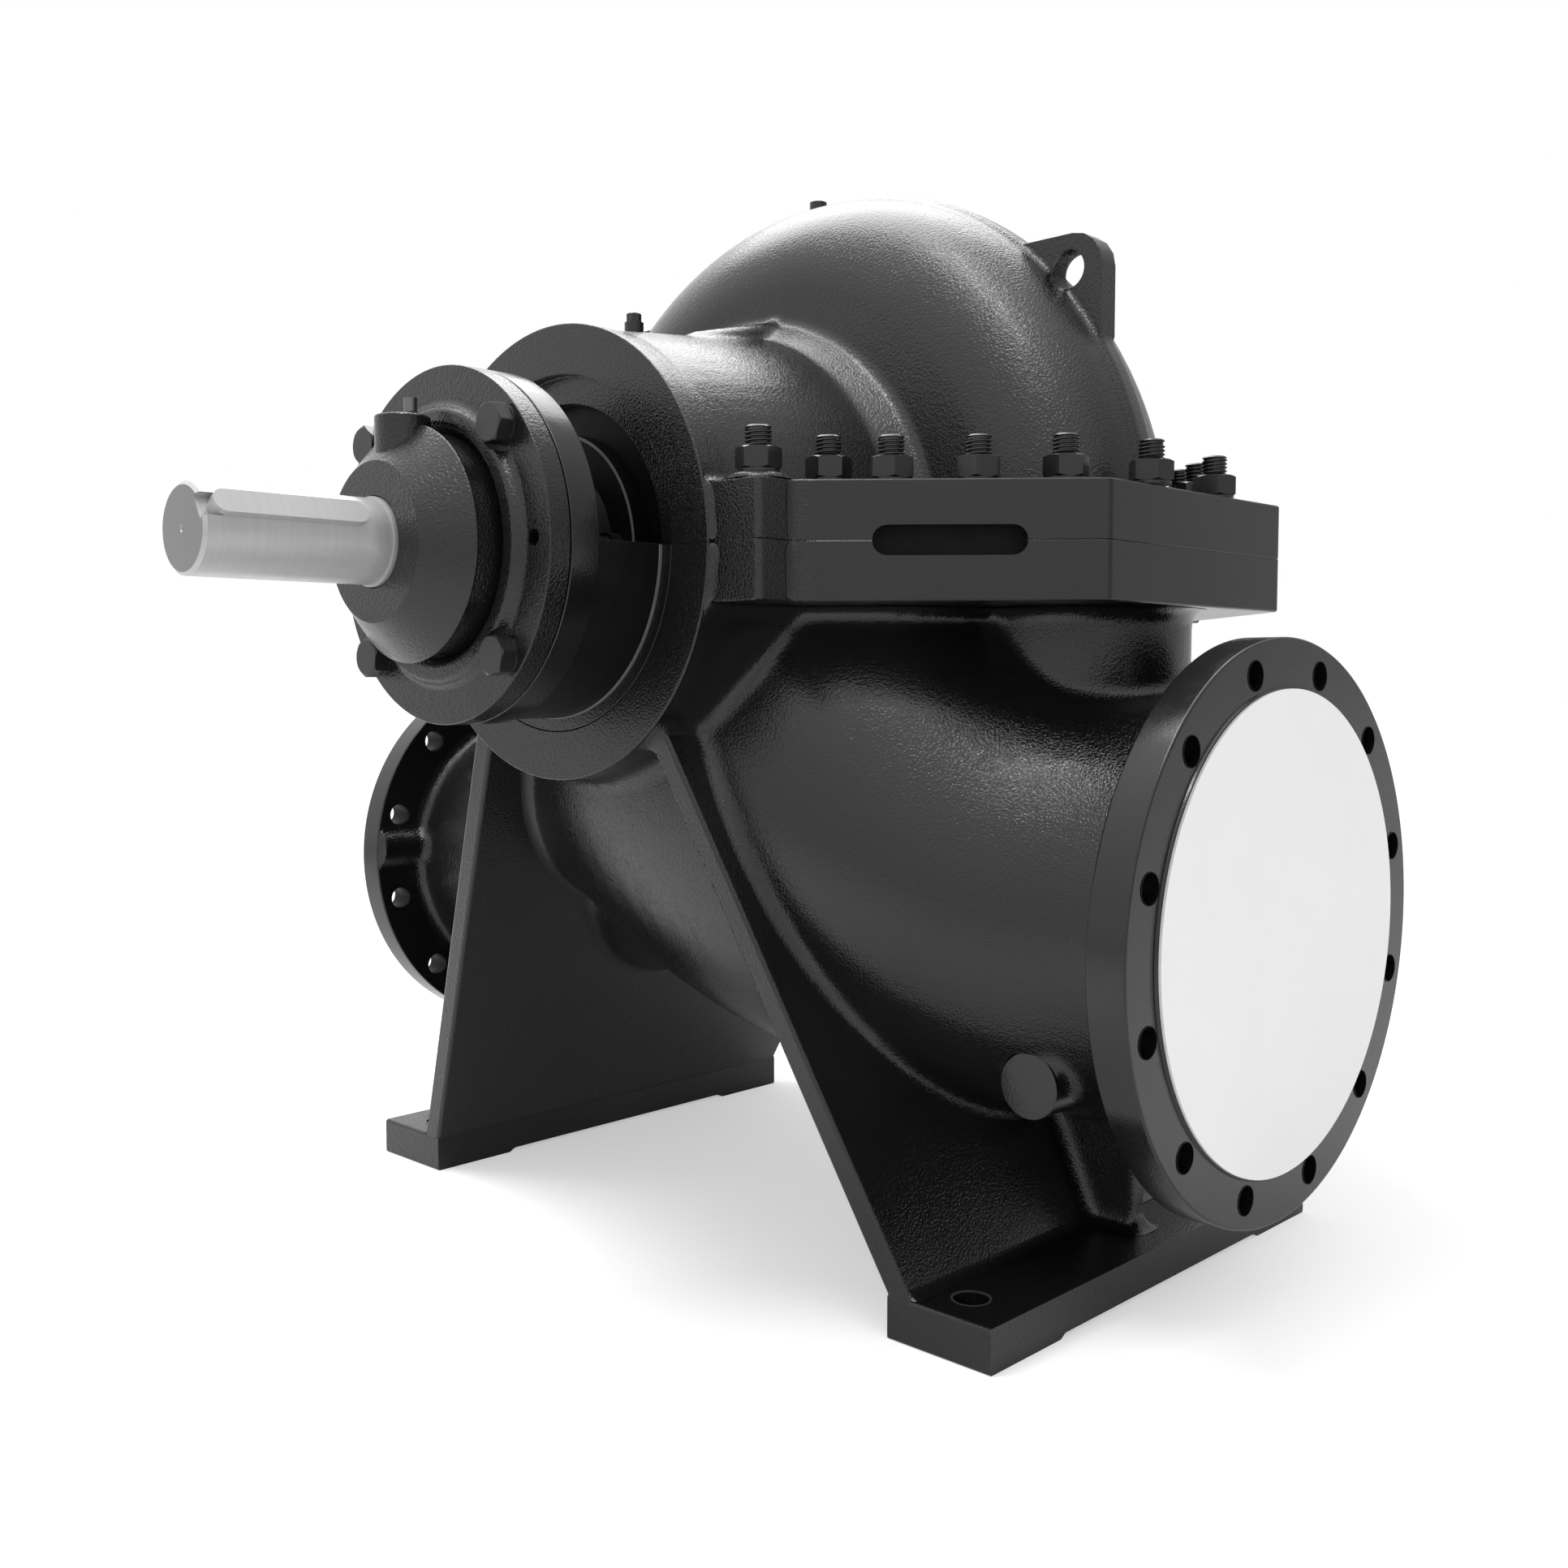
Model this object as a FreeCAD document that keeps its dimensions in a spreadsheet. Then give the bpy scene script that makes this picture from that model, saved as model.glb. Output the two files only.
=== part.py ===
"""Horizontal split case pump with flanged nozzles low on both sides and a bearing at each end.

Millimetres. X runs along the shaft towards the drive end, Y towards the suction nozzle, Z is up.
The origin lies on the base plane, in the middle of the four foot bolts.
"""
import FreeCAD, Part
import os
import re
import Sketcher

# Driving dimensions. Each is written once here and lives in the sheet "Sizes" under this name.
SIZES = {
    # base and feet
    "shaft_height": 586, "foot_half_length": 239, "foot_inner": 290, "foot_outer": 384,
    "foot_thickness": 34, "foot_pad_length": 87, "foot_relief": 3,
    "foot_bolt_x": 203, "foot_bolt_y": 340, "foot_bolt_radius": 14,
    "web_thickness": 21.5, "web_foot_half_length": 236, "web_foot_outer": 319,
    "web_top_height": 452, "web_top_half_length": 306, "web_top_outer": 118,
    # casing, turned about the shaft line; the volute's centre lies off it, towards the suction side
    "volute_radius": 334, "volute_offset": 27, "volute_rim_radius": 95,
    "rim_band_height": 3, "rim_band_width": 20,
    "neck_root_x": 103, "neck_root_radius": 198, "neck_end_radius": 181, "neck_flare": 20,
    "flush_ridge_radius": 13, "flush_ridge_lean": 10, "flush_ridge_start_x": 188, "flush_ridge_length": 92,
    "flush_ridge_start_radius": 182, "flush_ridge_slope": 14,
    "ring_face_x": 316, "ring_thickness": 24, "ring_radius": 182,
    "recess_radius": 142, "recess_depth": 10, "chamber_radius": 120, "chamber_depth": 85,
    "casing_shaft_clearance": 6,
    # split flange, seen from above
    "split_flange_thickness": 44, "split_flange_half_width": 403, "split_flange_side_half": 129,
    "split_flange_corner_x": 279, "split_flange_neck_half_width": 230, "split_flange_end_x": 312,
    "split_flange_corner_radius": 8, "gasket_thickness": 1, "gasket_inset": 2,
    "pry_slot_length": 112, "pry_slot_height": 22, "pry_slot_depth": 45,
    "stud_boss_x": 290, "stud_boss_y": 208, "stud_boss_radius": 21, "stud_boss_rise": 5,
    # nose of the volute under the split flange
    "nose_inset": 21, "nose_depth": 130,
    # nozzles
    "nozzle_height": 295, "nozzle_bolts": 12, "nozzle_bolt_radius": 11.5,
    "raised_face_height": 2, "nozzle_cover_thickness": 2, "nozzle_cover_inset": 1,
    "suction_face_y": 479, "suction_flange_radius": 222.5, "suction_flange_thickness": 33,
    "suction_pitch_radius": 200, "suction_raised_radius": 185, "suction_pipe_radius": 168,
    "discharge_face_y": 490, "discharge_flange_radius": 197.5, "discharge_flange_thickness": 31,
    "discharge_pitch_radius": 175, "discharge_raised_radius": 160, "discharge_pipe_radius": 143,
    "gauge_boss_radius": 20, "gauge_boss_height": 305, "gauge_boss_rise": 12, "gauge_boss_end_x": 194,
    "drain_boss_radius": 25, "drain_boss_y": 354, "drain_boss_height": 184.5, "drain_boss_end_x": 153,
    "nozzle_rib_thickness": 18, "nozzle_rib_x": -11, "nozzle_rib_outer": 350,
    # lifting lugs
    "lug_top": 846, "lug_outer": 316, "lug_thickness": 20, "lug_hole_radius": 15.5,
    "lug_hole_y": 284.5, "lug_hole_z": 818, "lug_corner_radius": 28,
    "lug_root_y": 190, "lug_root_height": 740, "lug_heel_y": 282, "lug_heel_height": 690,
    "lug_outer_bottom": 762,
    # bearing bracket
    "housing_radius": 135, "housing_front_x": 404, "housing_back_x": 378, "trough_wall": 14,
    "lip_radius": 138, "lip_length": 8, "spigot_clearance": 0.3, "hub_radius": 78, "hub_length": 22,
    # bearing cover
    "cover_front_x": 423, "cover_step_x": 434, "cover_step_radius": 97, "cover_cone_x": 451,
    "cover_cone_radius": 89, "cover_nose_x": 481, "cover_nose_radius": 59,
    "cover_bore_depth_x": 438, "cover_edge_size": 3, "cap_end_x": 447, "cap_radius": 92, "cap_slope": 8,
    "cap_wall": 10,
    "cover_bolt_radius": 116, "jack_hole_radius": 6, "jack_hole_depth": 14,
    "nipple_radius": 5, "nipple_height": 9, "nipple_seat": 6,
    "cup_x": 447, "cup_radius": 19, "cup_top_radius": 99, "far_nipple_x": 434,
    # shaft and what turns with it
    "shaft_end_x": 625, "shaft_end_radius": 31.5, "bearing_seat_radius": 35, "shaft_body_radius": 38,
    "shaft_far_end_x": 432, "shaft_chamfer": 2.5, "bearing_clearance": 0.3,
    "centre_hole_radius": 3, "centre_hole_depth": 8,
    "key_width": 18, "key_height": 11, "key_depth": 7, "key_length": 122, "key_lean": 60,
    "key_end_gap": 7,
    "shaft_shoulder_radius": 33, "shaft_shoulder_reach": 2,
    "sleeve_radius": 44, "sleeve_start_x": 236, "sleeve_end_x": 340,
    "slinger_radius": 58, "slinger_width": 8, "slinger_slope_height": 8, "slinger_slope_length": 4,
    "shaft_step_gap": 12,
    # shaft seal
    "seal_cover_radius": 96, "seal_cover_front_x": 312, "seal_cover_thickness": 33,
    "seal_clearance": 1, "gland_radius": 70, "gland_front_x": 326, "gland_slope": 4,
    "gland_ear_y": 72, "gland_ear_radius": 13, "gland_ear_thickness": 10,
    # plugs
    "plug_radius": 8, "plug_height": 12, "plug_seat": 8, "neck_plug_x": 228, "neck_plug_seat": 186,
}

# The belly of the lower casing: ellipses across Y from the suction side to the discharge side.
# Each has its place, its depth below the shaft line, its half height and how much wider than high it is.
BELLY = {
    "blend": (330, 272, 182, 20),
    "shoulder": (230, 221, 236, 14),
    "front": (120, 186, 268, 0.1),
    "middle": (0, 161, 268, 0.1),
    "back": (-120, 141, 235, 18),
    "rise": (-230, 111, 180, 45),
    "tail": (-320, 86, 120, 30),
}
# The nozzle pipes: each section's distance from the flange face, its rise above the nozzle's axis,
# how much its half height exceeds the pipe's radius and how much wider than high it is.
PIPE = {
    "suction_bend": (60, 2, 1, 2),
    "suction_mouth": (100, 8, 5, 6),
    "discharge_bend": (110, 2, 0, 1),
    "discharge_throat": (230, 25, 6, 1),
    "discharge_root": (370, 70, 12, 5),
}
for table, rows, quantities in (("belly", BELLY, ("y", "drop", "half_height", "widening")),
                                ("pipe", PIPE, ("distance", "lift", "growth", "widening"))):
    for part_name, numbers in rows.items():
        for quantity, number in zip(quantities, numbers):
            SIZES[f"{table}_{part_name}_{quantity}"] = number

doc = FreeCAD.newDocument("split_case_pump")
sheet = doc.addObject("Spreadsheet::Sheet", "Sizes")
for row, (alias, value) in enumerate(SIZES.items(), start=1):
    sheet.set(f"A{row}", alias)
    sheet.set(f"B{row}", str(value))
    sheet.setAlias(f"B{row}", alias)
doc.recompute()

PARTS = {}
DRIVE, FAR = 1, -1
# two lengths nearer than this are the same
CLOSE = 0.01
END_NAMES = {DRIVE: "drive", FAR: "far"}


def size(alias):
    """The number that the sheet holds under this name."""
    return float(sheet.get(alias))


def value(formula):
    """The number of a formula that is one size name, or one less another."""
    first, *rest = formula.split(" - ")
    return size(first) - sum(size(name) for name in rest)


def bound(text):
    """The same formula with every size name pointing at the sheet."""
    return re.sub(r"[a-z][a-z_]+", lambda m: f"Sizes.{m.group()}" if m.group() in SIZES else m.group(), text)


def bind(thing, **formulas):
    """Tie properties to formulas; x, y and z stand for the place."""
    places = {"x": "Placement.Base.x", "y": "Placement.Base.y", "z": "Placement.Base.z"}
    for name, text in formulas.items():
        thing.setExpression(places.get(name, name), bound(text))
    return thing


def keep(thing, label):
    """Name a finished sub-part; the label becomes its file name."""
    thing.Label = label
    PARTS[label] = thing
    return thing


def turned_to(axis, angle):
    """A placement that only turns, about X, Y or Z."""
    vector = {"X": FreeCAD.Vector(1, 0, 0), "Y": FreeCAD.Vector(0, 1, 0), "Z": FreeCAD.Vector(0, 0, 1)}[axis]
    return FreeCAD.Placement(FreeCAD.Vector(), FreeCAD.Rotation(vector, angle))


# Part primitives and booleans

def box(name, **formulas):
    return bind(doc.addObject("Part::Box", name), **formulas)


def rod(name, axis="Z", flip=False, **formulas):
    """A cylinder that runs along +X, +Y or +Z, or the other way."""
    thing = doc.addObject("Part::Cylinder", name)
    turns = {"X": ("Y", 90), "Y": ("X", -90), "Z": ("X", 0)}
    about, angle = turns[axis]
    thing.Placement = turned_to(about, angle + (180 if flip else 0))
    return bind(thing, **formulas)


def fuse(name, things):
    thing = doc.addObject("Part::MultiFuse", name)
    thing.Shapes = things
    thing.Refine = True
    return thing


def cut(name, base, tools):
    """Base without the tools."""
    tool = tools[0] if len(tools) == 1 else fuse(name + "_tools", tools)
    thing = doc.addObject("Part::Cut", name)
    thing.Base = base
    thing.Tool = tool
    return thing


def common(name, things):
    thing = doc.addObject("Part::MultiCommon", name)
    thing.Shapes = things
    return thing


def loft(name, sections):
    """A smooth solid through ellipses that stand across Y: (y, height, half length, half height)."""
    rings = []
    for number, (y, z, half_x, half_z) in enumerate(sections):
        ring = doc.addObject("Part::Ellipse", f"{name}_section_{number}")
        ring.Placement = turned_to("X", 90)
        bind(ring, MajorRadius=half_x, MinorRadius=half_z, y=y, z=z)
        rings.append(ring)
    thing = doc.addObject("Part::Loft", name)
    thing.Sections = rings
    thing.Solid = True
    return thing


# PartDesign bodies

def body_on_shaft(name):
    """A body whose own X axis is the shaft line."""
    body = doc.addObject("PartDesign::Body", name)
    return bind(body, z="shaft_height")


def sketch(body, name, role, corners, lift=None):
    """A closed outline of straight edges whose corners are formulas."""
    drawing = body.newObject("Sketcher::SketchObject", name)
    plane = next(f for f in body.Origin.OriginFeatures if f.Role == role)
    drawing.AttachmentSupport = [(plane, "")]
    drawing.MapMode = "FlatFace"
    if lift:
        drawing.setExpression("AttachmentOffset.Base.z", bound(lift))
    count = len(corners)
    for i in range(count):
        start, end = FreeCAD.Vector(i, i * i, 0), FreeCAD.Vector(i + 1, (i + 1) ** 2, 0)
        drawing.addGeometry(Part.LineSegment(start, end))
    for i in range(count):
        drawing.addConstraint(Sketcher.Constraint("Coincident", i, 2, (i + 1) % count, 1))
    for i, corner in enumerate(corners):
        for kind, text in zip(("DistanceX", "DistanceY"), corner):
            number = drawing.addConstraint(Sketcher.Constraint(kind, -1, 1, i, 1, float(i + 1)))
            label = f"{kind}_{i}"
            drawing.renameConstraint(number, label)
            drawing.setExpression(f"Constraints.{label}", bound(text))
    return drawing


def revolve(body, name, corners, end=DRIVE, kind="PartDesign::Revolution"):
    """Turn an outline of (x, radius) corners about the shaft line; the far end is mirrored."""
    mirrored = [(f"{end} * ({x})", radius) for x, radius in corners]
    drawing = sketch(body, name + "_profile", "XZ_Plane", mirrored)
    feature = body.newObject(kind, name)
    feature.Profile = drawing
    feature.ReferenceAxis = (drawing, ["H_Axis"])
    feature.Angle = 360
    doc.recompute()
    return feature


def dress(body, name, base, circles, amount):
    """Chamfer the circular edges that lie at (x, radius)."""
    names = [f"Edge{i}" for i, edge in enumerate(base.Shape.Edges, start=1)
             if isinstance(edge.Curve, Part.Circle)
             and any(abs(edge.Curve.Center.x - x) < CLOSE and abs(edge.Curve.Radius - radius) < CLOSE
                     for x, radius in circles)]
    feature = body.newObject("PartDesign::Chamfer", name)
    feature.Base = (base, names)
    bind(feature, Size=amount)
    doc.recompute()
    return feature


# Casing

def casing_core(name):
    """The turned inner form of both casing halves: volute disc, necks and end rings."""
    body = body_on_shaft(name + "_necks")
    revolve(body, "necks", [
        ("-ring_face_x", "0"), ("ring_face_x", "0"), ("ring_face_x", "ring_radius"),
        ("ring_face_x - ring_thickness", "ring_radius"), ("ring_face_x - ring_thickness", "neck_end_radius"),
        ("neck_root_x + neck_flare", "neck_root_radius"),
        ("neck_root_x - neck_flare / 2", "neck_root_radius + neck_flare"),
        ("neck_flare / 2 - neck_root_x", "neck_root_radius + neck_flare"),
        ("-neck_root_x - neck_flare", "neck_root_radius"),
        ("ring_thickness - ring_face_x", "neck_end_radius"), ("ring_thickness - ring_face_x", "ring_radius"),
        ("-ring_face_x", "ring_radius")])
    rim = doc.addObject("Part::Torus", name + "_rim")
    rim.Placement = turned_to("Y", 90)
    bind(rim, Radius1="volute_radius - volute_rim_radius", Radius2="volute_rim_radius", z="shaft_height")
    rim.setExpression("Placement.Base.y", bound("volute_offset"))
    flanks = rod(name + "_flanks", "X", Radius="volute_radius - volute_rim_radius",
                 Height="2 * volute_rim_radius", x="-volute_rim_radius", y="volute_offset", z="shaft_height")
    return [body, rim, flanks]


def flange_outline(inset="0"):
    """Corners of the split flange from above: a rectangle with cut corners and a neck at each end."""
    quarter = [
        (f"split_flange_end_x - {inset}", "0"),
        (f"split_flange_end_x - {inset}", f"split_flange_neck_half_width - {inset}"),
        (f"split_flange_corner_x - 0.4 * {inset}", f"split_flange_neck_half_width - {inset}"),
        (f"split_flange_side_half - 0.4 * {inset}", f"split_flange_half_width - {inset}"),
    ]
    first = quarter[1:]
    second = [(f"-({x})", y) for x, y in reversed(first)]
    third = [(f"-({x})", f"-({y})") for x, y in first]
    fourth = [(x, f"-({y})") for x, y in reversed(first)]
    return first + second + third + fourth


def flange_plate(name, low, height, inset="0"):
    """A plate of the split flange's outline that starts at a height above the shaft line."""
    body = body_on_shaft(name)
    drawing = sketch(body, name + "_outline", "XY_Plane", flange_outline(inset), lift=low)
    pad = body.newObject("PartDesign::Pad", name + "_pad")
    pad.Profile = drawing
    bind(pad, Length=height)
    doc.recompute()
    round_upright_edges(body, name + "_corners", pad, "split_flange_corner_radius")
    return body


def round_upright_edges(body, name, base, radius):
    """Fillets every upright edge of a pad."""
    names = [f"Edge{i}" for i, edge in enumerate(base.Shape.Edges, start=1)
             if len(edge.Vertexes) == 2 and abs(edge.tangentAt(edge.FirstParameter).z) > 0.99]
    rounding = body.newObject("PartDesign::Fillet", name)
    rounding.Base = (base, names)
    bind(rounding, Radius=radius)
    doc.recompute()
    return rounding


def bore_tools(name):
    """What the shaft line takes out of both halves: end recesses, seal chambers and the shaft's way."""
    tools = [rod(name + "_way", "X", Radius="shaft_body_radius + casing_shaft_clearance",
                 Height="2 * ring_face_x + 2", x="-ring_face_x - 1", z="shaft_height")]
    for end in (DRIVE, FAR):
        label = f"{name}_{END_NAMES[end]}"
        for kind, radius, depth in (("recess", "recess_radius", "recess_depth"),
                                    ("chamber", "chamber_radius", "chamber_depth")):
            start = f"ring_face_x - {depth}" if end == DRIVE else "-ring_face_x - 1"
            tools.append(rod(f"{label}_{kind}", "X", Radius=radius, Height=f"{depth} + 1", x=start,
                             z="shaft_height"))
    return tools


def half_space(name, upper):
    """A block over or under the gasket."""
    low = "shaft_height + gasket_thickness / 2" if upper else "0"
    height = "2 * volute_radius" if upper else "shaft_height - gasket_thickness / 2"
    return box(name, Length="4 * ring_face_x", Width="4 * suction_face_y", Height=height,
               x="-2 * ring_face_x", y="-2 * suction_face_y", z=low)


def pry_slots(name):
    """Round-ended slots across the split line, one in each slanted flange face."""
    slots = []
    run = "(split_flange_corner_x - split_flange_side_half)"
    rise = "(split_flange_half_width - split_flange_neck_half_width)"
    for x_side in (1, -1):
        for y_side in (1, -1):
            end_word = "drive" if x_side > 0 else "far"
            body = doc.addObject("PartDesign::Body", f"{name}_{end_word}_{'plus' if y_side > 0 else 'minus'}")
            body.Placement = turned_to("Z", 1)
            bind(body, z="shaft_height", x=f"{x_side} * (split_flange_corner_x + split_flange_side_half) / 2",
                 y=f"{y_side} * (split_flange_half_width + split_flange_neck_half_width) / 2")
            slant = f"atan({rise} / {run})"
            body.setExpression("Placement.Rotation.Angle",
                               bound(f"180 deg - {slant}" if x_side == y_side else slant))
            half, tall = "pry_slot_length / 2", "pry_slot_height / 2"
            drawing = sketch(body, "slot", "XZ_Plane",
                             [(f"-{half}", f"-{tall}"), (half, f"-{tall}"), (half, tall), (f"-{half}", tall)])
            pad = body.newObject("PartDesign::Pad", "slot_pad")
            pad.Profile = drawing
            pad.Midplane = True
            bind(pad, Length="2 * pry_slot_depth")
            doc.recompute()
            ends = [f"Edge{i}" for i, edge in enumerate(pad.Shape.Edges, start=1)
                    if abs(edge.Length - 2 * size("pry_slot_depth")) < CLOSE]
            rounding = body.newObject("PartDesign::Fillet", "slot_ends")
            rounding.Base = (pad, ends)
            bind(rounding, Radius="pry_slot_height / 2 - 0.2")
            slots.append(body)
    return slots


def nozzle_flange(name, side):
    """A drilled pipe flange with its raised face; side is +1 for suction and -1 for discharge."""
    word = "suction" if side > 0 else "discharge"
    body = doc.addObject("PartDesign::Body", name)
    bind(body, z="nozzle_height")
    back = f"{side} * ({word}_face_y - {word}_flange_thickness)"
    front = f"{side} * ({word}_face_y - raised_face_height)"
    face = f"{side} * {word}_face_y"
    drawing = sketch(body, "flange_profile", "YZ_Plane", [
        (back, "0"), (face, "0"), (face, f"{word}_raised_radius"), (front, f"{word}_raised_radius"),
        (front, f"{word}_flange_radius"), (back, f"{word}_flange_radius")])
    disc = body.newObject("PartDesign::Revolution", "flange_disc")
    disc.Profile = drawing
    disc.ReferenceAxis = (drawing, ["H_Axis"])
    disc.Angle = 360
    doc.recompute()
    drill = body.newObject("Sketcher::SketchObject", "bolt_hole")
    plane = next(f for f in body.Origin.OriginFeatures if f.Role == "XZ_Plane")
    drill.AttachmentSupport = [(plane, "")]
    drill.MapMode = "FlatFace"
    half_step = "180 / nozzle_bolts"
    drill.addGeometry(Part.Circle(FreeCAD.Vector(1, 1, 0), FreeCAD.Vector(0, 0, 1), 1))
    for kind, text in (("DistanceX", f"{word}_pitch_radius * cos({half_step})"),
                       ("DistanceY", f"{word}_pitch_radius * sin({half_step})")):
        number = drill.addConstraint(Sketcher.Constraint(kind, -1, 1, 0, 3, 1.0))
        drill.renameConstraint(number, kind)
        drill.setExpression(f"Constraints.{kind}", bound(text))
    number = drill.addConstraint(Sketcher.Constraint("Radius", 0, 1.0))
    drill.renameConstraint(number, "hole_radius")
    drill.setExpression("Constraints.hole_radius", bound("nozzle_bolt_radius"))
    pocket = body.newObject("PartDesign::Pocket", "first_hole")
    pocket.Profile = drill
    pocket.Type = "ThroughAll"
    pocket.Midplane = True
    doc.recompute()
    ring = body.newObject("PartDesign::PolarPattern", "bolt_circle")
    ring.Originals = [pocket]
    ring.Axis = (drill, ["N_Axis"])
    ring.Angle = 360
    bind(ring, Occurrences="nozzle_bolts")
    body.Tip = ring
    doc.recompute()
    assert ring.Shape.Volume < pocket.Shape.Volume < disc.Shape.Volume
    return body


def foot(name, side):
    """One foot: a plate with two machined pads below and two bolt holes."""
    low = "foot_inner" if side > 0 else "-foot_outer"
    plate = box(f"{name}_plate", Length="2 * foot_half_length", Width="foot_outer - foot_inner",
                Height="foot_thickness", x="-foot_half_length", y=low)
    relief = box(f"{name}_relief", Length="2 * (foot_half_length - foot_pad_length)",
                 Width="foot_outer - foot_inner + 2", Height="foot_relief + 1",
                 x="foot_pad_length - foot_half_length", y=f"{low} - 1", z="-1")
    holes = [rod(f"{name}_hole_{END_NAMES[end]}", "Z", Radius="foot_bolt_radius", Height="foot_thickness + 2",
                 x=f"{end} * foot_bolt_x", y=f"{side} * foot_bolt_y", z="-1") for end in (DRIVE, FAR)]
    return cut(name, plate, [relief] + holes)


def web(name, side):
    """The leaning wall of a leg: wider at the top than at its foot."""
    wall = doc.addObject("Part::Wedge", name)
    wall.Placement = FreeCAD.Placement(FreeCAD.Vector(), FreeCAD.Rotation(FreeCAD.Vector(1, 0, 0), 90))
    # the wedge's own Y points up and its own Z points to -Y
    near, far = ("-web_foot_outer", "-web_foot_outer + web_thickness") if side > 0 else (
        "web_foot_outer - web_thickness", "web_foot_outer")
    top_near, top_far = ("-web_top_outer", "-web_top_outer + web_thickness") if side > 0 else (
        "web_top_outer - web_thickness", "web_top_outer")
    return bind(wall, Xmin="-web_foot_half_length", Xmax="web_foot_half_length",
                X2min="-web_top_half_length", X2max="web_top_half_length",
                Ymin="foot_thickness / 2", Ymax="web_top_height",
                Zmin=near, Zmax=far, Z2min=top_near, Z2max=top_far)


def nozzle_sections(word, side, steps):
    """Sections of a nozzle pipe, the first inside its flange and the others where the table has them."""
    radius = f"{word}_pipe_radius"
    sections = [(f"{side} * ({word}_face_y - {word}_flange_thickness / 2)", "nozzle_height",
                 f"{radius} + 0.1", radius)]
    for step in steps:
        at = f"pipe_{word}_{step}"
        sections.append((f"{side} * ({word}_face_y - {at}_distance)", f"nozzle_height + {at}_lift",
                         f"{radius} + {at}_growth + {at}_widening", f"{radius} + {at}_growth"))
    return sections


def belly_section(part_name):
    at = f"belly_{part_name}"
    return (f"{at}_y", f"shaft_height - {at}_drop", f"{at}_half_height + {at}_widening", f"{at}_half_height")


def bosses():
    """Blank bosses that face along X: two drains on the suction side and one for a gauge."""
    made = []
    for end in (DRIVE, FAR):
        start = "0" if end == DRIVE else "-drain_boss_end_x"
        made.append(rod(f"drain_boss_{END_NAMES[end]}", "X", Radius="drain_boss_radius",
                        Height="drain_boss_end_x", x=start, y="drain_boss_y", z="drain_boss_height"))
    made.append(rod("gauge_boss", "X", Radius="gauge_boss_radius", Height="gauge_boss_end_x",
                    y="discharge_flange_thickness + gauge_boss_rise - discharge_face_y - gauge_boss_radius",
                    z="gauge_boss_height"))
    return made


def lower_casing():
    belly = [belly_section(part_name) for part_name in BELLY]
    chamber = loft("chamber", nozzle_sections("suction", 1, ["bend", "mouth"]) + belly)
    discharge_pipe = loft("discharge_pipe", nozzle_sections("discharge", -1, ["bend", "throat", "root"]))
    nose = rod("volute_nose", "Z", Radius="volute_rim_radius", Height="nose_depth",
               y="split_flange_half_width - nose_inset - volute_rim_radius", z="shaft_height - nose_depth")
    rib = box("nozzle_rib", Length="nozzle_rib_thickness",
              Width="nozzle_rib_outer - web_foot_outer + 3 * web_thickness",
              Height="nozzle_height - suction_pipe_radius", x="nozzle_rib_x - nozzle_rib_thickness / 2",
              y="web_foot_outer - 3 * web_thickness", z="foot_thickness / 2")
    web_shadow = doc.addObject("Part::Wedge", "rib_side_of_web")
    web_shadow.Placement = FreeCAD.Placement(FreeCAD.Vector(), FreeCAD.Rotation(FreeCAD.Vector(1, 0, 0), 90))
    bind(web_shadow, Xmin="-ring_face_x", Xmax="ring_face_x", X2min="-ring_face_x", X2max="ring_face_x",
         Ymin="foot_thickness / 2", Ymax="web_top_height", Zmin="-2 * web_foot_outer",
         Zmax="-web_foot_outer + web_thickness / 2", Z2min="-2 * web_foot_outer",
         Z2max="-web_top_outer + web_thickness / 2")
    outer_rib = common("nozzle_rib_outside", [rib, web_shadow])
    flange = flange_plate("lower_flange", "-split_flange_thickness", "split_flange_thickness")
    pieces = casing_core("lower_core") + [chamber, discharge_pipe, nose, outer_rib, flange] + bosses()
    for side, word in ((1, "suction"), (-1, "discharge")):
        pieces += [nozzle_flange(f"{word}_flange", side), foot(f"{word}_foot", side),
                   web(f"{word}_web", side)]
    whole = fuse("lower_whole", pieces)
    below = common("lower_below_split", [whole, half_space("lower_space", upper=False)])
    keep(cut("lower_casing_solid", below, bore_tools("lower") + pry_slots("lower_slot")), "lower_casing")


def lug(name, side):
    """A lifting lug: a cheek in the middle plane with a level top and an upright outer edge."""
    body = doc.addObject("PartDesign::Body", name)
    bind(body, z="0")
    drawing = sketch(body, "cheek", "YZ_Plane", [
        (f"{side} * lug_root_y", "lug_root_height"), (f"{side} * lug_heel_y", "lug_heel_height"),
        (f"{side} * lug_outer", "lug_outer_bottom"), (f"{side} * lug_outer", "lug_top"),
        (f"{side} * lug_root_y", "lug_top")])
    pad = body.newObject("PartDesign::Pad", "cheek_pad")
    pad.Profile = drawing
    pad.Midplane = True
    bind(pad, Length="lug_thickness")
    doc.recompute()
    corner = [f"Edge{i}" for i, edge in enumerate(pad.Shape.Edges, start=1)
              if abs(edge.Length - size("lug_thickness")) < CLOSE
              and abs(edge.CenterOfMass.z - size("lug_top")) < CLOSE
              and abs(abs(edge.CenterOfMass.y) - size("lug_outer")) < CLOSE]
    rounding = body.newObject("PartDesign::Fillet", "lug_corner")
    rounding.Base = (pad, corner)
    bind(rounding, Radius="lug_corner_radius")
    doc.recompute()
    return body


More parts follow.
